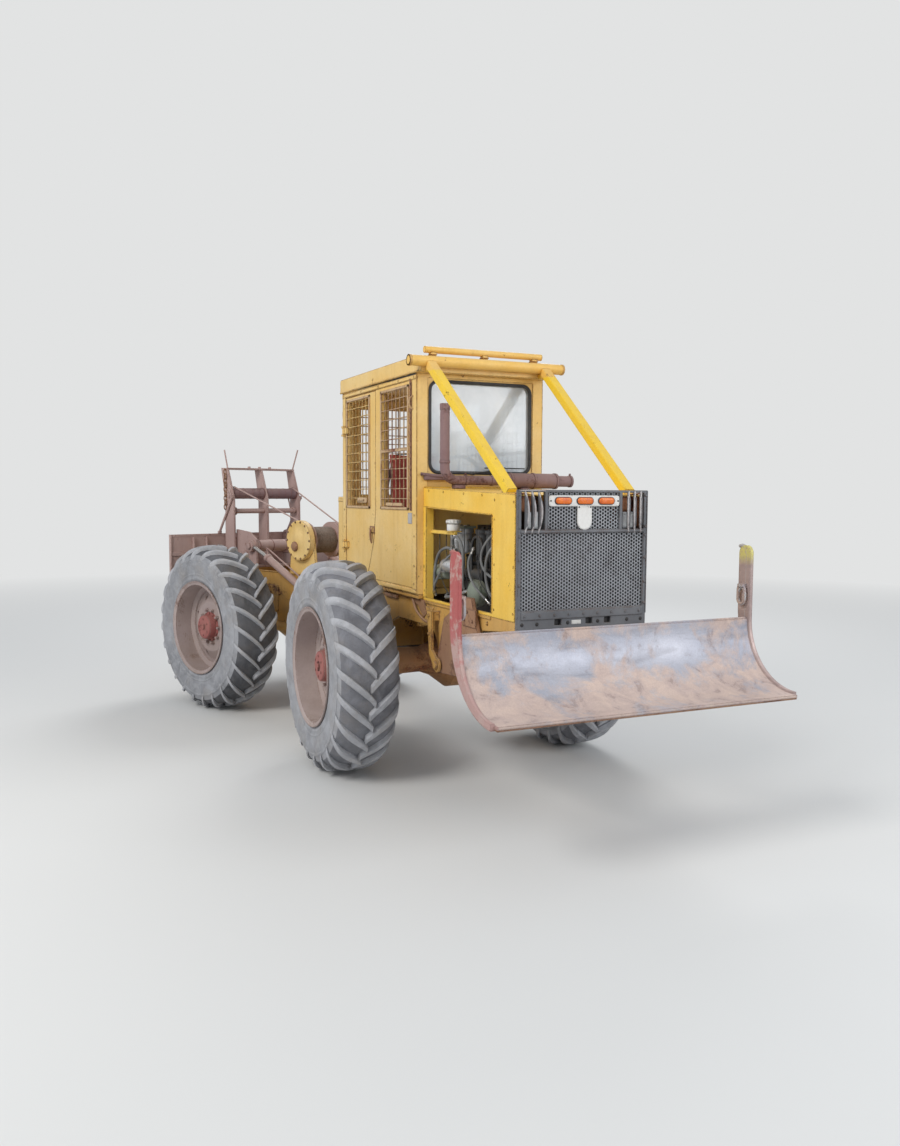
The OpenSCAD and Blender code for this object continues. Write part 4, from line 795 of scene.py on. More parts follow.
def perforated(p, y, z, x, thick=3.0, pitch=20.0, hole=7.3, seg=12):
    """Plate across X with round holes in upright columns, every second column set half a pitch lower."""
    dy = pitch * math.sqrt(3) / 2
    cols = int((y[1] - y[0]) / dy) + 1
    rows = int((z[1] - z[0]) / pitch) + 1
    outer = {}

    def corner(a, b):
        k = (round(a * 2), round(b * 2))
        if k not in outer:
            outer[k] = p.vert((x, a, b))
        return outer[k]
    for i in range(cols):
        cy = (y[0] + y[1]) / 2 + (i - (cols - 1) / 2) * dy
        for j in range(rows):
            cz = (z[0] + z[1]) / 2 + (j - (rows - 1) / 2) * pitch + (pitch / 2 if i % 2 else 0) - pitch / 4
            six = [(cy + pitch / math.sqrt(3) * cos(radians(60 * k)), cz + pitch / math.sqrt(3) * sin(radians(60 * k)))
                   for k in range(6)]
            ring_o = []
            for k in range(6):
                a, b = six[k], six[(k + 1) % 6]
                ring_o.append(corner(*a))
                ring_o.append(corner((a[0] + b[0]) / 2, (a[1] + b[1]) / 2))
            front, back = [p.verts((d, cy + hole * cos(a), cz + hole * sin(a)) for a in turn(seg))
                           for d in (x, x - thick)]
            for k in range(seg):
                q = (k + 1) % seg
                p.face([ring_o[k], ring_o[q], front[q], front[k]])
                p.face([front[k], front[q], back[q], back[k]])


# Outer faces of the cab's sides and of the hood and side plates, axes of the winch, the top roller and the tow eyes
CAB_Y, SIDE_Y = 474.5, 427
WINCH_X, WINCH_Z = -715, 1490
ROLLER_X, ROLLER_Z = -1816, 1905
EYE_X, EYE_Z = -1480, 1410


def rear_piece(name, key):
    return Piece(name, key, "rear_body", R)


# Grille: fine perforated screens, rim welds, bolts, a small bare plate on the bumper strip
def grille():
    p = Piece("grille_mesh", "screen")
    perforated(p, (-405, 405), (1258, 1686), 1678)
    perforated(p, (-236, 236), (1708, 1914), 1678)
    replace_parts(p.done(angle=30, fix=False), "grille_screen")
    p = Piece("grille_trim", "guard")
    for s in (-1, 1):
        bolts(p, [(1687, s * 416, z) for z in (1275, 1400, 1540, 1670, 1720, 1900)], (1, 0, 0), 8, 5)
        p.box((1686, 1690), (s * SIDE_Y - 4, s * SIDE_Y + 4), (1215, 1926), 1.2)
    for y in range(-380, 381, 76):
        p.rod((1686, y - 9, 1693), (1686, y + 9, 1693), 4.5, 8)
    p.box((1686, 1692), (-404, 404), (1206, 1254), 2)
    p.box((1687, 1693), (-410, 410), (1689, 1705), 2)
    for y in range(-380, 381, 95):
        p.nut((1692, y, 1230), (1, 0, 0), 7, 4)
    p.done()
    p = Piece("bumper_plate", "white")
    p.box((1687, 1690), (-76, -14), (1172, 1196), 1.0)
    p.done()
    p = Piece("bumper_strip_and_shade_backing", "black")
    p.box((1680, 1686), (-425, 425), (1152, 1164), 2)
    # Dark backing sheets behind the strip's holes, the top of the screen and both its sides: painted shade
    p.box((1667, 1669), (-190, 190), (1168, 1208), 0)
    p.box((1667, 1669), (-232, 232), (1884, 1916), 0)
    for s in (-1, 1):
        p.box((1654, 1656), yy(s, 262, 419), (1230, 1690), 0)
    for y in (-395, -300, -100, 100, 300, 395):
        p.nut((1686, y, 1182), (1, 0, 0), 9, 6)
    p.done()


def lamps():
    pan, lens, screws, shadow_rims = (Piece("marker_plate", "white"), Piece("marker_lenses", "amber"),
                               Piece("marker_screws", "black"), Piece("marker_shadow_rims", "seal"))
    slab_x(pan, rounded((-232, 232), (1836, 1898), 14), (1684, 1691), 1.5)
    half = [(48 * cos(radians(a)), 1752 + 48 * sin(radians(a))) for a in range(180, 361, 12)]
    slab_x(pan, half + [(48, 1840), (-48, 1840)], (1685, 1691.6), 1.5)
    for y in (-142, 0, 142):
        # Dark rim round each lens: painted shadow
        slab_x(shadow_rims, rounded((y - 56, y + 56), (1845, 1889), 21.9), (1690, 1696), 1.5)
        slab_x(lens, rounded((y - 51, y + 51), (1849, 1885), 17.9), (1692, 1699), 1.0)
        dome_x(lens, rounded((y - 50, y + 50), (1850, 1884), 16.9), 1699, 6.5)
        for s in (-1, 1):
            screws.rod((1697, y + s * 38, 1867), (1704.5, y + s * 38, 1867), 4.2, 10)
    for y, z in ((-222, 1867), (222, 1867), (-38, 1832), (38, 1832)):
        screws.rod((1690, y, z), (1694, y, z), 5, 10)
    for p in (pan, lens, screws, shadow_rims):
        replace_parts(p.done(), "marker_panel")
    box_, glass_, rim = Piece("lamp_housings", "black"), Piece("lamp_lenses", "lampglass"), Piece("lamp_rims", "silver")
    for s in (-1, 1):
        y = yy(s, 270, 366)
        slab_x(box_, rounded(y, (1710, 1806), 10), (1597, 1652), 3)
        slab_x(rim, rounded((y[0] + 1, y[1] - 1), (1711, 1805), 11), (1650, 1658), 2.5)
        dome_x(glass_, rounded((y[0] + 7, y[1] - 7), (1717, 1799), 9), 1656, 5)
        box_.box((1617, 1647), yy(s, 275, 419), (1690, 1711), 2)
        bolts(box_, [(1632, s * 392, 1711)], (0, 0, 1), 8, 6)
    for p in (box_, glass_, rim):
        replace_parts(p.done(), "headlamps")
    p = Piece("lamp_backs", "rustorange")
    for s in (-1, 1):
        rows = []
        for x, z in ((1560, 1740), (1585, 1812), (1610, 1880), (1640, 1896)):
            rows.append([(x, s * y, z + (y - 262) * 0.12) for y in (256, 300, 350, 412)])
        p.strip(rows)
        p.box((1560, 1640), yy(s, 405, 411), (1708, 1892), 1)
    p.done(solid=3)
    p = Piece("guard_bars", "pale")
    for s in (-1, 1):
        for y in (300, 342, 384):
            path = [(1686 + 20 * sin(math.pi * t), s * (y - 16 * sin(math.pi * t)), 1922 - 236 * t)
                    for t in (i / 8 for i in range(9))]
            p.tube(path, 5.5, 10, 3)
    p.tube([(1690, -418, 1922), (1692, -330, 1924), (1690, -256, 1922)], 4, 8, 4)
    p.done()


# Windscreen: rounded opening in its steel surround, rubber seal, hood strip and wiper
def windscreen():
    y, z = (-398, 398), (2029, 2672)
    p = Piece("screen_surround", "cab")
    inner = rounded((y[0] + 12, y[1] - 12), (z[0] + 12, z[1] - 14), 66, 8)
    outer = rounded(y, z, 2, 8)
    a, b, c = (p.verts([(x, *q) for q in edge]) for x, edge in ((376, outer), (376, inner), (366, inner)))
    n = len(inner)
    for i in range(n):
        j = (i + 1) % n
        p.face([a[i], a[j], b[j], b[i]])
        p.face([b[i], b[j], c[j], c[i]])
    p.done()
    p = Piece("screen_seal", "seal")
    for x, d, r_corner, r in ((378, 16, 62, 8.5), (374, 24, 56, 6)):
        p.tube([(x, *q) for q in rounded((y[0] + d, y[1] - d), (z[0] + d, z[1] - d - 2), r_corner)], r, 10, 1,
               close=True)
    # Wiper parked along the bottom
    p.rod((382, -60, 2046), (396, -60, 2046), 13, 14)
    p.tube([(396, -60, 2046), (398, 60, 2062), (396, 180, 2086)], 4, 8, 4)
    p.box((392, 400), (20, 330), (2078, 2086), 1.5)
    p.done()
    p = Piece("cowl_strip", "exhaust")
    p.box((383, 408), (-430, 420), (1996, 2026), 4)
    p.tube([(396, -452, 2036), (404, -300, 2022), (406, 0, 2014), (402, 300, 2014)], 11, 10, 6)
    p.done()


# Cab sides: seams, hinges, latches, handles, the bare label, rain strip and rings
def cab_sides():
    for s in (-1, 1):
        tag = "right" if s < 0 else "left"

        def S(x, y, z, s=s):
            return F(x, s * y, z)
        # Welded frames round both side windows
        p = Piece("window_frames_" + tag, "meshwire", place=S)
        for a, b in (((-290, 242), (1794, 1812)), ((-290, 242), (2620, 2638)), ((-290, -270), (1794, 2638)),
                     ((222, 242), (1794, 2638)), ((-270, 222), (2196, 2212))):
            p.box(a, (CAB_Y, 484), b, 2)
        p.box((-150, 150), (482, 492), (1818, 1842), 2)
        p.done()
        q = Piece("door_frame_" + tag, "meshwire", tag + "_door", S)
        for a, b in (((-1056, -515), (1794, 1812)), ((-1056, -515), (2620, 2638)), ((-1056, -1036), (1794, 2638)),
                     ((-535, -515), (1794, 2638))):
            q.box(a, (CAB_Y, 484), b, 2)
        # Sliding catch under the mesh
        q.box((-756, -556), (482, 494), (1836, 1876), 3)
        q.rod((-740, 498, 1856), (-600, 498, 1856), 6, 10)
        q.done()
        # Hinge strip between the front mesh and the post: knuckles, rusty chain of welds
        p = Piece("hinge_strip_" + tag, "arm", place=S)
        for k, z in enumerate(range(1800, 2640, 38)):
            p.rod((278 + (2 if k % 2 else 0), 481, z), (278, 481, z + 34), 8.5 if k % 2 else 7, 10)
        p.box((262, 294), (CAB_Y, 478), (1790, 2650), 1)
        p.done()
        p = Piece("side_trim_" + tag, "cab", place=S)
        # Post faces, sill rail with its fold, drip edge
        p.box((306, 380), (CAB_Y, 479), (1262, 2695), 1.5)
        p.box((-1150, -1078), (CAB_Y, 478), (1262, 2695), 1.5)
        p.box((-260, 380), (470, 484), (1236, 1262), 4)
        p.box((-1150, 375), (CAB_Y, 482), (2662, 2690), 3)
        for x in (-1110, -700, -330, 60, 340):
            p.nut((x, 482, 2676), (0, 1, 0), 7, 4)
        for z in (1300, 1420, 1620, 1760):
            p.nut((343, 479, z), (0, 1, 0), 6, 4)
            p.nut((-1114, 478, z + 20), (0, 1, 0), 6, 4)
        p.done()
        # Dark wedge under the roof's edge: painted shadow
        p = Piece("roof_gap_shadow_" + tag, "black", place=S)
        p.plate([(-800, 2699), (362, 2699), (362, 2688), (-200, 2694)], (CAB_Y, 481.5))
        p.done()
        # Bare label, door handle and pin latch
        p = Piece("label_" + tag, "pale", place=S)
        p.box((228, 300), (474.8, 477), (1702, 1776), 0.8)
        p.done()
        q = Piece("latch_" + tag, "arm", tag + "_door", S)
        q.rod((-465, 475, 1637), (-465, 497, 1637), 15, 14)
        q.tube([(-465, 496, 1640), (-452, 502, 1600), (-447, 498, 1560), (-450, 490, 1540)], 6, 10, 5)
        q.box((-520, -420), (CAB_Y, 479), (1612, 1664), 1.5)
        bolts(q, [(-510, 479, 1622), (-510, 479, 1652)], (0, 1, 0), 5, 4)
        for z in (1500, 2400):
            bolts(q, [(-1032, 476, z - 12), (-1032, 476, z + 12)], (0, 1, 0), 6, 5)
        q.done()
        # Rings for lashing: rear edge of the roof and front post
        p = Piece("rings_" + tag, "meshwire", place=S)
        pts = [(-1160 - 26 * sin(a), 462, 2536 + 40 * cos(a)) for a in (i * math.pi / 8 for i in range(9))]
        p.tube(pts, 6, 10, 3)
        pts = [(322, 478 + 30 * sin(a), 2510 + 42 * cos(a)) for a in (i * math.pi / 8 for i in range(9))]
        p.tube(pts, 5.5, 10, 3)
        p.done()


def roof():
    p = Piece("roof_trim", "cab")
    for s in (-1, 1):
        p.tube([(-1172, s * 488, 2706), (-400, s * 489, 2706), (436, s * 488, 2706)], 6, 8, 6)
        p.box((420, 470), yy(s, 430, 486), (2702, 2742), 4)
        p.box((446, 480), yy(s, 420, 438), (2716, 2776), 3)
    for x in (-1000, -650, -300, 50):
        p.tube([(x, -440, 2817), (x, 0, 2817.5), (x, 440, 2817)], 3.5, 8, 4)
    p.done()
    p = Piece("tube_ends", "frame")
    for s in (-1, 1):
        p.lathe_y(477, 2764, s * 560, s * 600, [(0, 36.5), (10, 38), (17, 36.5), (17, 27), (-30, 27)], 28)
    for y in (-380, 0, 380):
        p.box((392, 442), (y - 24, y + 24), (2812, 2818), 2)
    p.done()
    # Square bars round the braces from the front tube down to the nose
    p = Piece("brace_bars", "bars")
    for s in (-1, 1):
        a, b = Vector((499, s * 427, 2740)), Vector((1551, s * 394, 1912))
        d = (b - a).normalized()
        u = Vector((0, 1, 0))
        u = (u - d * u.dot(d)).normalized()
        w = d.cross(u)
        ends = [p.verts([tuple(q + u * i + w * j) for i, j in ((31, 23), (26, 28), (-26, 28), (-31, 23), (-31, -23),
                                                               (-26, -28), (26, -28), (31, -23))]) for q in (a, b)]
        for k in range(8):
            j = (k + 1) % 8
            p.face([ends[0][k], ends[0][j], ends[1][j], ends[1][k]])
        p.face(ends[0])
        p.face(list(reversed(ends[1])))
    p.done()
    # Gussets where the branch bars meet the tube and the nose
    p = Piece("bar_gussets", "bright")
    for s in (-1, 1):
        p.box((440, 520), yy(s, 402, 452), (2698, 2730), 4)
        p.box((1470, 1560), yy(s, 362, 428), (1901, 1912), 3)
        bolts(p, [(1484, s * 376, 1912), (1484, s * 414, 1912), (1546, s * 376, 1912), (1546, s * 414, 1912)],
              (0, 0, 1), 8, 6)
    p.done()


for f in (grille, lamps, windscreen, cab_sides, roof):
    f()


def hood_and_engine():
    p = Piece("hood_trim", "bright")
    for s in (-1, 1):
        # Folded post edges, butt strap and screws
        p.box((1384, 1392), yy(s, 426.6, 432), (1216, 1780), 1.5)
        p.box((1658, 1667), yy(s, 426.6, 432), (1197, 1898), 1.5)
        p.tube([(436, s * 430, 1816), (900, s * 430, 1800), (1384, s * 430, 1786)], 4, 8, 4)
        for x, z in ((1410, 1240), (1640, 1240), (1410, 1500), (1640, 1500), (1410, 1760), (1640, 1860), (1410, 1870),
                     (470, 1925), (700, 1916), (1000, 1906), (1250, 1897), (405, 1260), (405, 1420), (405, 1640)):
            p.nut((x, s * SIDE_Y, z), (0, s, 0), 6.5, 4)
        p.box((384, 432), yy(s, 426.6, 431), (1216, 1822), 1.2)
    p.tube([(384, -424, 1948), (384, 424, 1948)], 6, 8, 4)
    p.box((900, 906), (-420, 420), (1923.5, 1929), 1)
    p.done()
    p = Piece("fuel_filters", "silver")
    for x in (560, 690):
        p.lathe((x, -262, 1520), (x, -262, 1700), [(0, 0), (0, 14), (6, 18), (8, 40), (14, 45), (124, 45), (130, 41),
                                                   (132, 52), (150, 54), (164, 50), (168, 14), (184, 12), (184, 0)], 28)
        for k in range(5):
            p.lathe((x, -262, 1540 + 22 * k), (x, -262, 1600), [(0, 45), (2, 47), (6, 47), (8, 45)], 28)
    p.done()
    p = Piece("filter_heads", "grey")
    p.box((500, 750), (-300, -215), (1684, 1700), 4)
    bolts(p, [(520, -262, 1700), (625, -262, 1700), (730, -262, 1700)], (0, 0, 1), 9, 8)
    p.lathe((420, -330, 1392), (640, -330, 1392), [(0, 0), (0, 36), (8, 44), (150, 44), (158, 36), (158, 0)], 28)
    p.box((470, 500), (-372, -250), (1340, 1352), 3)
    p.done()
    p = Piece("round_unit", "grey")
    p.lathe_y(985, 1290, -286, -390, [(0, 66), (10, 80), (26, 84), (50, 84), (66, 76), (80, 56), (90, 30), (94, 0)], 36)
    p.lathe_y(985, 1290, -340, -350, [(0, 90), (10, 90)], 36)
    bolts(p, circle_y(985, -336, 1290, 84, turn(10)), (0, -1, 0), 6, 6)
    p.done()
    p = Piece("silver_can", "silver")
    p.lathe((560, -352, 1440), (760, -352, 1440), [(0, 0), (0, 30), (10, 40), (18, 43), (150, 43), (160, 38), (168, 20),
                                                   (168, 0)], 28)
    p.box((600, 616), (-398, -300), (1396, 1404), 3)
    p.done()
    p = Piece("rail_bar", "bright")
    p.box((434, 800), (-396, -372), (1644, 1668), 2)
    p.box((700, 800), (-414, -340), (1663, 1670), 2)
    p.done()
    p = Piece("reservoir", "white")
    p.lathe((750, -378, 1670), (750, -378, 1730), [(0, 0), (0, 38), (6, 42), (40, 42), (46, 36), (48, 46), (60, 48),
                                                   (70, 45), (74, 20), (74, 0)], 28)
    for a in turn(14):
        p.rod((750 + 47 * cos(a), -378 + 47 * sin(a), 1720), (750 + 47 * cos(a), -378 + 47 * sin(a), 1738), 3, 6)
    p.done()
    # Hoses and leads across the bay, each from union to union
    hoses = [
        [(442, -372, 1255), (470, -382, 1400), (540, -386, 1512), (640, -378, 1556), (700, -350, 1545)],
        [(690, -352, 1560), (750, -380, 1622), (840, -388, 1628), (905, -388, 1560), (905, -384, 1440),
         (880, -372, 1340), (850, -340, 1290)],
        [(690, -330, 1540), (640, -380, 1480), (560, -386, 1390), (470, -386, 1290), (444, -366, 1240)],
        [(1250, -330, 1690), (1190, -378, 1600), (1160, -386, 1520), (1200, -386, 1455), (1290, -372, 1410),
         (1340, -330, 1400)],
        [(1180, -340, 1250), (1100, -384, 1330), (1020, -390, 1400), (960, -372, 1490), (940, -330, 1560)],
        [(1330, -330, 1640), (1260, -384, 1560), (1230, -390, 1440), (1260, -378, 1320), (1320, -340, 1270)],
        [(500, -300, 1240), (640, -376, 1236), (800, -384, 1262), (900, -340, 1300)],
    ]
    p = Piece("hoses", "hose")
    ends = Piece("hose_ends", "chrome")
    for i, h in enumerate(hoses):
        r = (9.5, 9.5, 8, 8, 7, 9, 11)[i]
        p.tube(h, r, 12, 8)
        for a, b in ((h[0], h[1]), (h[-1], h[-2])):
            d = (Vector(b) - Vector(a)).normalized()
            ends.lathe(a, Vector(a) + d, [(-14, 0), (-14, r + 2), (0, r + 4), (4, r + 4), (6, r + 1.5), (34, r + 1.5),
                                          (36, r)], 12)
    p.done()
    ends.done()
    p = Piece("wires", "seal")
    rnd = random.Random(5)
    for i in range(7):
        x0, x1 = 450 + i * 120, 560 + i * 118
        y = -300 - rnd.uniform(0, 60)
        p.tube([(x0, y, 1700 - rnd.uniform(0, 60)), ((x0 + x1) / 2, y - 20, 1500 - rnd.uniform(0, 120)),
                (x1, y, 1330 - rnd.uniform(0, 60)), (x1 + 60, y + 20, 1240)], 3.2, 7, 6)
    p.done()
    # Block details seen through both openings: rocker covers' screws, fins, drain pipes, fan shroud
    p = Piece("engine_detail", "engine")
    for i in range(4):
        x = 602 + 195 * i
        bolts(p, [(x - 50, 0, 1700), (x + 50, 0, 1700)], (0, 0, 1), 12, 12)
        for s in (-1, 1):
            p.box((x - 80, x + 80), yy(s, 119, 126), (1512, 1626), 4)
            bolts(p, [(x - 60, s * 126, 1530), (x + 60, s * 126, 1530), (x - 60, s * 126, 1610),
                      (x + 60, s * 126, 1610)], (0, s, 0), 9, 8)
            for k in range(5):
                p.box((x - 84, x + 84), yy(s, 149, 158), (1260 + k * 44, 1268 + k * 44), 2)
    for s in (-1, 1):
        p.tube([(470, s * 172, 1246), (800, s * 180, 1250), (1300, s * 174, 1246)], 12, 10, 5)
        p.box((500, 1300), yy(s, 150, 172), (1486, 1498), 4)
        bolts(p, [(520 + 78 * k, s * 166, 1498) for k in range(11)], (0, 0, 1), 8, 7)
    for a in turn(20):
        p.nut((470, 185 * cos(a), 1250 + 185 * sin(a)), (1, 0, 0), 9, 8)
    p.done()
    # Radiator fins, in black: painted shade behind the screen
    p = Piece("radiator_fins", "black")
    for k in range(26):
        p.box((1546, 1549), (-320 + k * 24.6, -304 + k * 24.6), (1262, 1784), 0)
    p.done()


def exhaust():
    # Middle of the standing pipe, height of the one lying across the hood, radius of the bend between them
    x, up_y, z, r_bend = 640, -390, 1993, 80
    p = Piece("exhaust_pipe", "exhaust")
    bend = [(x, up_y + r_bend * (1 - cos(a)), z + r_bend * (1 - sin(a))) for a in (i * math.pi / 16 for i in range(9))]
    p.tube([(x, up_y, 2478), (x, up_y, 2300), (x, up_y, z + 120)] + bend + [(x, -230, z), (x, -80, z), (x, 80, z)], 31,
           28, 3, caps=False)
    p.lathe_y(x, z, 66, 80, [(0, 30), (3, 42), (9, 48), (18, 50.5), (352, 50.5), (361, 48), (368, 42), (372, 37),
                             (492, 37), (493, 33), (380, 32.5)], 32)
    for y, r in ((-250, 31), (-60, 31), (76, 50), (250, 50.5), (420, 50.5), (540, 37)):
        p.lathe_y(x, z, y, y + 16, [(0, r - 1), (0, r + 3.5), (16, r + 3.5), (16, r - 1)], 28)
    for y, r in ((-250, 31), (540, 37)):
        p.box((634, 646), (y + 2, y + 14), (z + r + 2, z + r + 16), 2)
    p.lathe((x, up_y, 2440), (x, up_y, 2480), [(0, 30), (2, 33.5), (36, 33.5), (39.5, 31), (39.5, 27), (-60, 26)], 28)
    p.lathe((x, up_y, 2100), (x, up_y, 2110), [(0, 30), (2, 34.5), (18, 34.5), (20, 30)], 28)
    # Saddle on the hood and the bracket under the bend
    p.box((590, 690), (150, 210), (1934, 1946), 3)
    p.box((618, 662), (-330, -250), (1938, 1962), 3)
    p.box((618, 626), (-330, -250), (1950, 1990), 2)
    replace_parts(p.done(), "exhaust")


def blade_parts():
    p = Piece("cutting_edge", "arm", "blade_body")
    p.box((2300, 2405), (-918, 918), (796, 806), 2)
    for y in range(-840, 841, 168):
        p.lathe((2352, y, 796), (2352, y, 780), [(0, 16), (6, 14), (10, 8), (10, 0)], 16)
    p.done()
    p = Piece("blade_top_roll", "blade", "blade_body")
    p.tube([(1990, -917, 1194), (1990, 0, 1194), (1990, 917, 1194)], 8, 10, 6)
    p.done()
    for s in (-1, 1):
        p = Piece("horn_edge_left" if s > 0 else "horn_edge_right", "pale" if s > 0 else "horn", "blade_body")
        y = s * 929
        pts = [(1978.5, y, 1200), (1978.5, y, 1400), (1978, y, 1560), (1962, y, 1598), (1931, y, 1612), (1914, y, 1606)]
        p.tube(pts, 11.5, 10, 5)
        p.done()
    # Back ribs of the blade between the arms
    p = Piece("blade_ribs", "blade", "blade_body")
    for y in (-640, -160, 160, 640):
        rows = []
        for k in range(9):
            a = radians(182 + 78 * k / 8)
            c, s = cos(a), sin(a)
            rows.append([(2376 + 387.5 * c, y - 6, 1193 + 387.5 * s), (2376 + 418 * c, y - 6, 1193 + 418 * s),
                         (2376 + 418 * c, y + 6, 1193 + 418 * s), (2376 + 387.5 * c, y + 6, 1193 + 387.5 * s)])
        p.strip(rows)
    p.done()
    p = Piece("shackles", "pale", "blade_body")
    for s in (-1, 1):
        y = s * 897
        p.rod((1970, s * 880, 1382), (1970, s * 919, 1382), 9, 12)
        p.tube([(1970, y, 1372), (1948, y, 1352), (1942, y, 1320), (1950, y, 1290), (1970, y, 1274), (1990, y, 1290),
                (1998, y, 1320), (1992, y, 1352)], 8, 10, 5, close=True)
    p.done()
    p = Piece("arm_detail", "arm", "blade_body")
    for s in (-1, 1):
        p.nut((735, s * 466, 812), (0, s, 0), 30, 14)
        p.box((1080, 1260), yy(s, 465, 471), (1110, 1220), 4)
        bolts(p, [(1110, s * 471, 1150), (1220, s * 471, 1150), (1150, s * 471, 1200)], (0, s, 0), 10, 8)
    p.done()


def wheels():
    for rear, side, tag in WHEELS:
        place, body = wheel_place(rear, side), tag + "_wheel"
        p = Piece("hub_" + tag, "hub", body, place)
        p.lathe((0, 0, 64), (0, 0, 160), [(0, 106), (0, 128), (6, 132), (12, 130), (16, 110), (62, 106), (74, 100),
                                          (80, 88), (82, 40), (80, 34), (80, 0)], 40)
        bolts(p, [(118 * cos(a), 118 * sin(a), 78) for a in turn(12)], (0, 0, 1), 9, 9)
        bolts(p, [(70 * cos(a), 70 * sin(a), 144) for a in (math.pi * (2 * k + 1) / 6 for k in range(6))], (0, 0, 1), 8,
              5)
        p.nut((0, 0, 144), (0, 0, 1), 20, 8, 8)
        p.done()
        p = Piece("rim_" + tag, "wheel", body, place)
        for a in turn(10):
            p.lathe((150 * cos(a), 150 * sin(a), 68), (150 * cos(a), 150 * sin(a), 100),
                    [(0, 19), (4, 19), (4, 12), (30, 11), (32, 8), (32, 0)], 14)
        for half in (-1, 1):
            p.lathe((0, 0, half * 205), (0, 0, half * 220), [(-6, 408), (0, 411), (6, 410.5), (8, 406), (4, 398),
                                                             (-4, 392), (-14, 380)], 72)
        for r, zz in ((338, 22), (300, 24.5)):
            p.lathe((0, 0, zz), (0, 0, zz + 6), [(0, r - 5), (3, r), (0, r + 5)], 60)
        for k in range(8):
            a = radians(45 * k + 22.5)
            p.lathe((262 * cos(a), 262 * sin(a), 44), (262 * cos(a), 262 * sin(a), 50),
                    [(0, 20), (3, 19), (3, 16), (-10, 16)], 16)
        # Valve
        p.rod((340 * cos(1), 340 * sin(1), 40), (328 * cos(1), 328 * sin(1), 82), 5, 8)
        p.done()


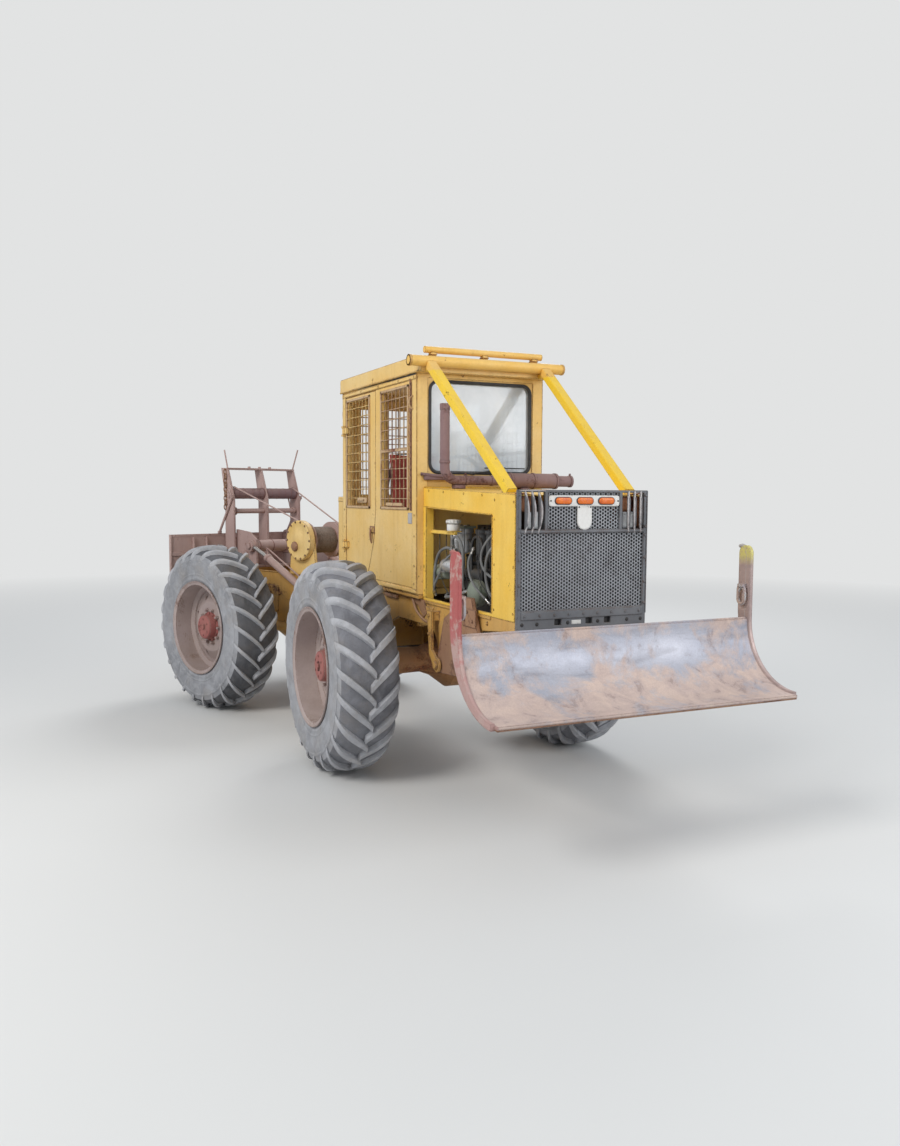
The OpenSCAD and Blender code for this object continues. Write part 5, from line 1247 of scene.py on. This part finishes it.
def rear_parts():
    p = rear_piece("arch_detail", "pink")
    for s in (-1, 1):
        for edge in ((-1731, -1738, -1742, -1842), (-1889, -1889, -1890, -1950)):
            p.tube([(x, s * 381, z) for x, z in zip(edge, (1200, 1600, 1860, 2132))], 5, 8, 6)
        p.lathe_y(ROLLER_X, ROLLER_Z, s * 390, s * 402, [(0, 46), (5, 46), (6, 30), (10, 26), (10, 0)], 24)
        bolts(p, circle_y(ROLLER_X, s * 390, ROLLER_Z, 36, (0.5, 2.07, 3.64, 5.21)), (0, s, 0), 6, 8)
        bolts(p, [(EYE_X, s * 390, EYE_Z)], (0, s, 0), 32, 14)
    for x in (-1950, -1842):
        p.tube([(x, -388, 2148), (x, 0, 2150), (x, 388, 2148)], 5, 8, 6)
    for y in (-120, 0, 120):
        p.box((-1900, -1860), (y - 5, y + 5), (2149, 2170), 2)
    p.done()
    # Cylinders from the side plates up to the tow eyes, with their pipes
    tube_, shaft = rear_piece("tow_cylinders", "pink"), rear_piece("tow_cylinder_rods", "chrome")
    for s in (-1, 1):
        y = s * 366
        low, high = (-640, y, 1045), (-1225, y, 1318)
        tube_.lathe(low, high, [(-30, 0), (-30, 26), (-22, 32), (0, 34), (598, 34), (602, 40), (636, 40), (645, 36),
                                (645, 19), (600, 19)], 28)
        tube_.lathe_y(-640, 1045, s * 316.5, s * 400, [(0, 0), (0, 30), (14, 30), (14, 20), (84, 20), (88, 17),
                                                       (88, 0)], 20)
        tube_.lathe_y(EYE_X, 1412, s * 346, s * 386, [(0, 20), (0, 34), (3, 37), (37, 37), (40, 34), (40, 20)], 28)
        tube_.tube([(-1205, y, 1345), (-1222, y, 1392), (-1190, y, 1388), (-960, y, 1281), (-740, y, 1178),
                    (-712, y, 1132), (-700, y, 1108)], 7, 10, 8)
        shaft.rod((-1215, y, 1314), (-1447, y, 1405), 18, 20)
    tube_.done()
    shaft.done()
    p = rear_piece("roller_detail", "darkred")
    for s in (-1, 1):
        for y in (13, 363):
            p.lathe_y(ROLLER_X, ROLLER_Z, s * y, s * (y + 5), [(0, 51), (0, 57), (5, 57), (5, 51)], 32)
        for y in (70, 150, 230, 300):
            p.lathe_y(ROLLER_X, ROLLER_Z, s * y, s * (y + 6), [(0, 51.5), (2, 53.5), (4, 53.5), (6, 51.5)], 32)
    for y in (-300, -150, 0, 150, 300):
        p.lathe_y(EYE_X, EYE_Z, y, y + 10, [(0, 54), (2, 58), (8, 58), (10, 54)], 28)
    p.done()
    # Wire rope wound round both drums
    p = rear_piece("drum_rope", "rope")
    for y0, y1 in ((-285, -23), (23, 285)):
        pts = []
        turns = 17
        n = 14 * turns
        for i in range(n + 1):
            t = i / n
            a = 2 * math.pi * turns * t
            pts.append((WINCH_X + 113 * cos(a), y0 + (y1 - y0) * t, WINCH_Z + 113 * sin(a)))
        p.tube(pts, 7.2, 7, 1)
    p.done()
    # Chain from the arch's top corner
    p = rear_piece("chain", "arm")
    for k in range(9):
        zc = 2112 - 42 * k
        flat = k % 2
        pts = []
        for a in turn(10):
            dx, dz = 15 * cos(a), 27 * sin(a)
            pts.append((-1862 + (dx if flat else 0), -404 + (0 if flat else dx), zc + dz))
        p.tube(pts, 5.5, 8, 3, close=True)
    p.tube([(-1880, -391, 2140), (-1872, -402, 2142), (-1862, -404, 2130)], 6, 8, 5)
    p.done()
    # Winch cover: rim, worn hub, bolts
    p = rear_piece("winch_cover", "cab")
    p.lathe_y(WINCH_X, WINCH_Z, -373, -390, [(0, 178), (3, 178), (7, 172), (7, 158), (4, 152), (4, 70), (9, 62),
                                             (9, 0)], 48)
    p.done()
    p = rear_piece("winch_hub", "arm")
    p.lathe_y(-760, 1436, -378, -412, [(0, 44), (10, 44), (14, 38), (22, 34), (26, 20), (26, 0)], 28)
    bolts(p, circle_y(-760, -388, 1436, 35, turn(6)), (0, -1, 0), 6, 6)
    bolts(p, circle_y(WINCH_X, -380, WINCH_Z, 165, turn(14)), (0, -1, 0), 8, 7)
    p.lathe_y(WINCH_X, WINCH_Z, 318, 352, [(0, 60), (8, 60), (14, 40), (14, 0)], 24)
    p.done()
    # Shield: ribs, ragged welded cap, brackets
    p = rear_piece("shield_detail", "pink")
    rnd = random.Random(9)
    rows = []
    n = 90
    for i in range(n + 1):
        y = -936 + 1872 * i / n
        h = 1513 + rnd.uniform(-3, 1.5)
        rows.append([(-1973, y, h - 26), (-1970, y, h - 4), (-1976, y, h), (-1986, y, h - 1), (-1991.5, y, h - 20)])
    p.strip(rows)
    for y in (-700, -560, 560, 700):
        p.box((-1974, -1940), (y - 6, y + 6), (1010, 1490), 3)
    for z in (1100, 1330):
        p.box((-1974, -1962), (-935, 935), (z - 20, z + 20), 3)
    p.box((-2008, -1990), (-930, 930), (1180, 1216), 3)
    for s in (-1, 1):
        p.box((-1990, -1962), yy(s, 922, 940), (1004, 1514), 3)
    p.done()
    # Rear frame: edge beads, bolts, pads
    p = rear_piece("rear_frame_detail", "frame")
    for s in (-1, 1):
        p.tube([(-420, s * 316, 1181), (-1000, s * 317, 1182), (-1958, s * 316, 1181)], 7, 8, 6)
        bolts(p, circle_y(REAR_AXLE_X, s * 316, 900, 150, (0.6, 1.2, 1.94, 2.54)), (0, s, 0), 14, 12)
        p.box((-1330, -1110), yy(s, 316, 328), (818, 1060), 5)
        p.box((-700, -520), yy(s, 316, 324), (900, 1100), 5)
    p.done()
    p = Piece("rear_box_detail", "cab")
    for s in (-1, 1):
        p.box((-1438, -1156), yy(s, 420, 425), (1840, 1866), 2)
        p.tube([(x, s * 300, z) for x, z in ((-1360, 1881), (-1360, 1900), (-1240, 1900), (-1240, 1881))], 6, 8, 6)
    p.box((-1447, -1441), (-380, 380), (1300, 1830), 4)
    p.box((-1452, -1446), (-30, 30), (1760, 1800), 2)
    p.done()


def frame_parts():
    p = Piece("front_frame_detail", "frame")
    for s in (-1, 1):
        p.box((400, 1380), yy(s, SIDE_Y, 434), (1176, 1196), 2)
        p.box((-560, 384), yy(s, SIDE_Y, 468), (1200, 1228), 5)
        p.tube([(-1100, s * 428, 1190), (-300, s * 428, 1192), (400, s * 428, 1190)], 6, 8, 5)
        p.nut((735, s * 493, 812), (0, s, 0), 26, 12)
        bolts(p, [(620, s * 489, 1120), (620, s * 489, 1000)], (0, s, 0), 11, 9)
        bolts(p, [(x, s * SIDE_Y, z) for x, z in ((470, 1080), (540, 1140), (820, 1140), (1000, 1140), (1180, 1150),
                                                  (1330, 1150))], (0, s, 0), 11, 9)
        p.box((430, 560), yy(s, SIDE_Y, 437), (1050, 1160), 5)
        p.box((-1090, -900), yy(s, SIDE_Y, 435), (760, 1120), 5)
        bolts(p, [(-1060, s * 435, 800), (-930, s * 435, 800), (-1060, s * 435, 1080), (-930, s * 435, 1080)],
              (0, s, 0), 12, 9)
    p.done()
    p = Piece("brackets", "arm")
    for s in (-1, 1):
        p.plate([(250, 1198), (425, 1198), (470, 1110), (420, 1080), (330, 1150), (270, 1165)], yy(s, 434, 442))
        p.tube([(240, s * 446, 1190), (320, s * 452, 1120), (430, s * 448, 1070), (520, s * 442, 1060)], 9, 10, 6)
        p.box((-300, -60), yy(s, SIDE_Y, 450), (1160, 1190), 4)
    p.done()
    # Steering hoses from the front frame down to the joint
    p = Piece("frame_hoses", "hose")
    for s in (-1, 1):
        p.tube([(-700, s * 240, 1150), (-900, s * 260, 1180), (-1080, s * 270, 1120), (-1150, s * 262, 900),
                (-1110, s * 262, 770)], 11, 10, 8)
    p.done()


for f in (hood_and_engine, exhaust, blade_parts, wheels, rear_parts, frame_parts):
    f()


# Seat: sewn cushions, filled by a cloth simulation, on a steel base
CLOTH_FRAMES = 20
CLOTH_REACH = 0.014  # metres that the cloth may move a point


def cushion(name, x, y, z, crown, welts):
    """Closed cushion inside a box, swelling along axis crown, with welts sewn in at shares of its width."""
    lim = (x, y, z)
    mid = Vector([(a[0] + a[1]) / 2 for a in lim])
    half = Vector([(a[1] - a[0]) / 2 for a in lim])
    bm = bmesh.new()
    bmesh.ops.create_cube(bm, size=2.0)
    bmesh.ops.subdivide_edges(bm, edges=bm.edges[:], cuts=23, use_grid_fill=True)
    flat = [i for i in range(3) if i != crown]
    for v in bm.verts:
        q = v.co.copy()
        # Sides pulled in between the corners, edges rounded, a low crown to start from
        u, w = q[flat[0]], q[flat[1]]
        pinch = 1 - 0.035 * (1 - u * u) * (1 if abs(w) > 0.98 else abs(w) ** 6) \
            - 0.035 * (1 - w * w) * (1 if abs(u) > 0.98 else abs(u) ** 6)
        edge = max(abs(u), abs(w))
        thin = 0.72 + 0.2 * (1 - u ** 4) * (1 - w ** 4) - 0.22 * max(0.0, edge - 0.8) / 0.2
        p = Vector((0, 0, 0))
        p[flat[0]] = u * half[flat[0]] * 0.965 * pinch
        p[flat[1]] = w * half[flat[1]] * 0.965 * pinch
        p[crown] = q[crown] * half[crown] * thin
        v.co = F(*(mid + p))
    me = bpy.data.meshes.new(name)
    bm.to_mesh(me)
    bm.free()
    ob = new_object(name, me)
    start = [v.co.copy() for v in me.vertices]
    mod = ob.modifiers.new("cloth", "CLOTH")
    mod.settings.quality = 5
    mod.settings.use_pressure = True
    mod.settings.uniform_pressure_force = 4
    mod.settings.effector_weights.gravity = 0
    mod.settings.tension_stiffness = mod.settings.compression_stiffness = 25
    mod.settings.bending_stiffness = 3
    mod.collision_settings.use_collision = False
    sc = bpy.context.scene
    for f in range(1, CLOTH_FRAMES + 1):
        sc.frame_set(f)
    dg = bpy.context.evaluated_depsgraph_get()
    done = [v.co.copy() for v in ob.evaluated_get(dg).data.vertices]
    ob.modifiers.clear()
    sc.frame_set(1)
    for v, a, b in zip(me.vertices, start, done):
        d = b - a
        v.co = a + d * min(1.0, CLOTH_REACH / max(d.length, 1e-6))
    # Sewn channels: lines pressed in on the crowned faces, inside the box again
    lo, hi = F(*[a[0] for a in lim]), F(*[a[1] for a in lim])
    along = flat[1]
    for v in me.vertices:
        t = (v.co[along] - lo[along]) / (hi[along] - lo[along])
        c = F(*mid)
        side = 1 if v.co[crown] > c[crown] else -1
        depth = max((math.exp(-((t - w) / 0.016) ** 2) for w in welts), default=0)
        if abs(v.co[crown] - c[crown]) > 0.45 * half[crown] / 1000:
            v.co[crown] -= side * 0.009 * depth
        for i in range(3):
            v.co[i] = min(max(v.co[i], lo[i] + 0.001), hi[i] - 0.001)
    me.materials.append(M["seat"])
    me.shade_smooth()
    sub = ob.modifiers.new("sub", "SUBSURF")
    sub.levels = sub.render_levels = 1
    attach(ob, "front_body")
    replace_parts(ob, "seat")
    # Piping round the cushion's two rims
    p = Piece(name + "_piping", "seal")
    a, b = flat
    for s in (-1, 1):
        pts = []
        for t in turn(28):
            cu, cw = cos(t), sin(t)
            m = max(abs(cu), abs(cw)) ** 0.85
            u, w = cu / m, cw / m
            q = Vector((0, 0, 0))
            q[a] = u * half[a] * 0.935
            q[b] = w * half[b] * 0.935
            q[crown] = s * half[crown] * 0.52
            pts.append(mid + q)
        p.tube(pts, 3.5, 8, 4, close=True)
    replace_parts(p.done(), "seat")


def seat():
    cushion("seat_cushion", (-758, -322), (-228, 228), (1562, 1658), 2, (0.3, 0.5, 0.7))
    cushion("seat_back", (-858, -772), (-218, 218), (1640, 2238), 0, (0.3, 0.55, 0.8))
    p = Piece("seat_base", "black")
    p.box((-740, -340), (-205, 205), (1548, 1566), 4)
    p.box((-800, -762), (-190, 190), (1562, 1680), 4)
    for s in (-1, 1):
        p.tube([(-780, s * 215, 1570), (-840, s * 222, 1640), (-862, s * 210, 1900), (-862, s * 160, 2180)], 9, 10, 5)
    for i in range(7):
        z0, z1 = 1300 + i * 34, 1334 + i * 34
        w = 146 if i % 2 else 138
        p.box((-698 + (146 - w), -402 - (146 - w)), (-w, w), (z0, z1), 6)
    p.box((-700, -400), (-150, 150), (1261, 1302), 5)
    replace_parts(p.done(), "seat")


# Driver's controls: dished steering wheel with spokes, pedals, levers, dash with gauges without marks
def cab_inside():
    p = Piece("steering_wheel", "seal")
    c = Vector((-20, 0, 2010))
    d = Vector((-sin(radians(62)), 0, cos(radians(62))))
    u = Vector((0, 1, 0))
    w = d.cross(u)
    pts = [c + d * 12 + (u * cos(a) + w * sin(a)) * 176 for a in (i * math.pi / 12 for i in range(24))]
    p.tube(pts, 13.5, 12, 2, close=True)
    for k in range(3):
        a = 2 * math.pi * k / 3 + 0.5
        e = (u * cos(a) + w * sin(a))
        p.tube([c + d * 4 + e * 28, c + d * 2 + e * 100, c + d * 12 + e * 172], 7, 8, 4)
    p.lathe(c - d * 10, c + d * 20, [(0, 0), (0, 34), (18, 38), (30, 30), (34, 0)], 24)
    p.rod((190, 0, 1900), (-8, 0, 2000), 21, 20)
    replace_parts(p.done(), "controls")
    p = Piece("dash", "black")
    p.box((180, 336), (-380, 380), (1840, 1990), 14)
    p.box((172, 190), (-360, 360), (1860, 1975), 6)
    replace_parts(p.done(), "controls")
    p = Piece("gauges", "silver")
    for y in (-250, -150, 150, 250):
        p.lathe((172, y, 1920), (160, y, 1920), [(0, 38), (4, 40), (8, 38), (8, 32), (4, 30), (4, 0)], 24)
    for y in (-60, -30, 30, 60):
        p.rod((172, y, 1880), (158, y, 1880), 6, 10)
    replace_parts(p.done(), "controls")
    p = Piece("levers", "chrome")
    knob = Piece("lever_knobs", "seal")
    for y in (-330, -300, -270, 300):
        p.tube([(-200, y, 1262), (-190, y, 1500), (-240, y, 1700)], 8, 10, 4)
        knob.lathe((-240, y, 1690), (-244, y, 1730), [(0, 9), (6, 17), (20, 20), (34, 14), (40, 0)], 16)
    p.done()
    knob.done()
    p = Piece("floor_mat", "seal")
    p.box((-380, 330), (-390, 390), (1260, 1268), 3)
    for k in range(12):
        p.box((-370 + k * 58, -345 + k * 58), (-380, 380), (1268, 1272), 1)
    p.box((150, 240), (-120, -50), (1272, 1340), 6)
    p.box((150, 240), (60, 130), (1272, 1340), 6)
    p.done()


seat()
cab_inside()


# Stage and light
BACKDROP, SKY = "e2e3e3", "e8eef6"
SKY_STRENGTH = 0.62
FLOOR_R = 90  # metres
FADE = (5.0, 17.0)  # the floor goes over into the backdrop between these distances


def stage():
    me = bpy.data.meshes.new("floor")
    n = 96
    vs = [(0, 0, 0)] + [(FLOOR_R * cos(a), FLOOR_R * sin(a), 0) for a in turn(n)]
    me.from_pydata(vs, [], [(0, i + 1, (i + 1) % n + 1) for i in range(n)])
    ob = new_object("floor", me)
    s = Mat("floor_pale")
    s.set("Base Color", srgb("d6d6d4"))
    s.set("Roughness", 0.9)
    s.set("Normal", s.bump(s.noise(30, 3), 0.05, 0.002))
    # Towards its rim the floor goes over into the backdrop
    reach = s.new("ShaderNodeVectorMath")
    reach.operation = "LENGTH"
    s.link(s.co, reach.inputs[0])
    glow = s.new("ShaderNodeEmission")
    glow.inputs[0].default_value = srgb(BACKDROP)
    seam = s.new("ShaderNodeMixShader")
    s.link(s.mul(s.step(reach.outputs["Value"], *FADE), s.new("ShaderNodeLightPath").outputs[0]), seam.inputs[0])
    s.link(s.b.outputs[0], seam.inputs[1])
    s.link(glow.outputs[0], seam.inputs[2])
    s.link(seam.outputs[0], s.out.inputs[0])
    me.materials.append(s.m)
    # The world lights softly, and shows the backdrop to the camera and in mirrors and glass
    w = bpy.data.worlds.new("studio")
    bpy.context.scene.world = w
    w.use_nodes = True
    w.node_tree.nodes.clear()
    new, link = w.node_tree.nodes.new, w.node_tree.links.new

    def background(code, strength):
        n = new("ShaderNodeBackground")
        n.inputs[0].default_value = srgb(code)
        n.inputs[1].default_value = strength
        return n.outputs[0]

    def most(a, b):
        n = new("ShaderNodeMath")
        n.operation = "MAXIMUM"
        link(a, n.inputs[0])
        link(b, n.inputs[1])
        return n.outputs[0]
    rays = new("ShaderNodeLightPath").outputs
    both = new("ShaderNodeMixShader")
    link(most(most(rays["Is Camera Ray"], rays["Is Glossy Ray"]), rays["Is Transmission Ray"]), both.inputs[0])
    link(background(SKY, SKY_STRENGTH), both.inputs[1])
    link(background(BACKDROP, 1.0), both.inputs[2])
    link(both.outputs[0], new("ShaderNodeOutputWorld").inputs[0])

    def area(name, at, to, power, col):
        d = bpy.data.lights.new(name, "AREA")
        d.shape = "DISK"
        d.size = 5.0
        d.energy = power
        d.color = col
        o = new_object(name, d)
        o.location = at
        o.rotation_euler = (Vector(to) - Vector(at)).to_track_quat("-Z", "Y").to_euler()
    area("key", (4.5, -8.5, 8.5), (0, 0, 1), 720, (1, 0.98, 0.95))
    area("fill", (9, 5, 5), (0.5, 0, 1), 330, (0.95, 0.97, 1))
    area("back", (-7, 5, 8), (0, 0, 1), 420, (1, 1, 1))


stage()
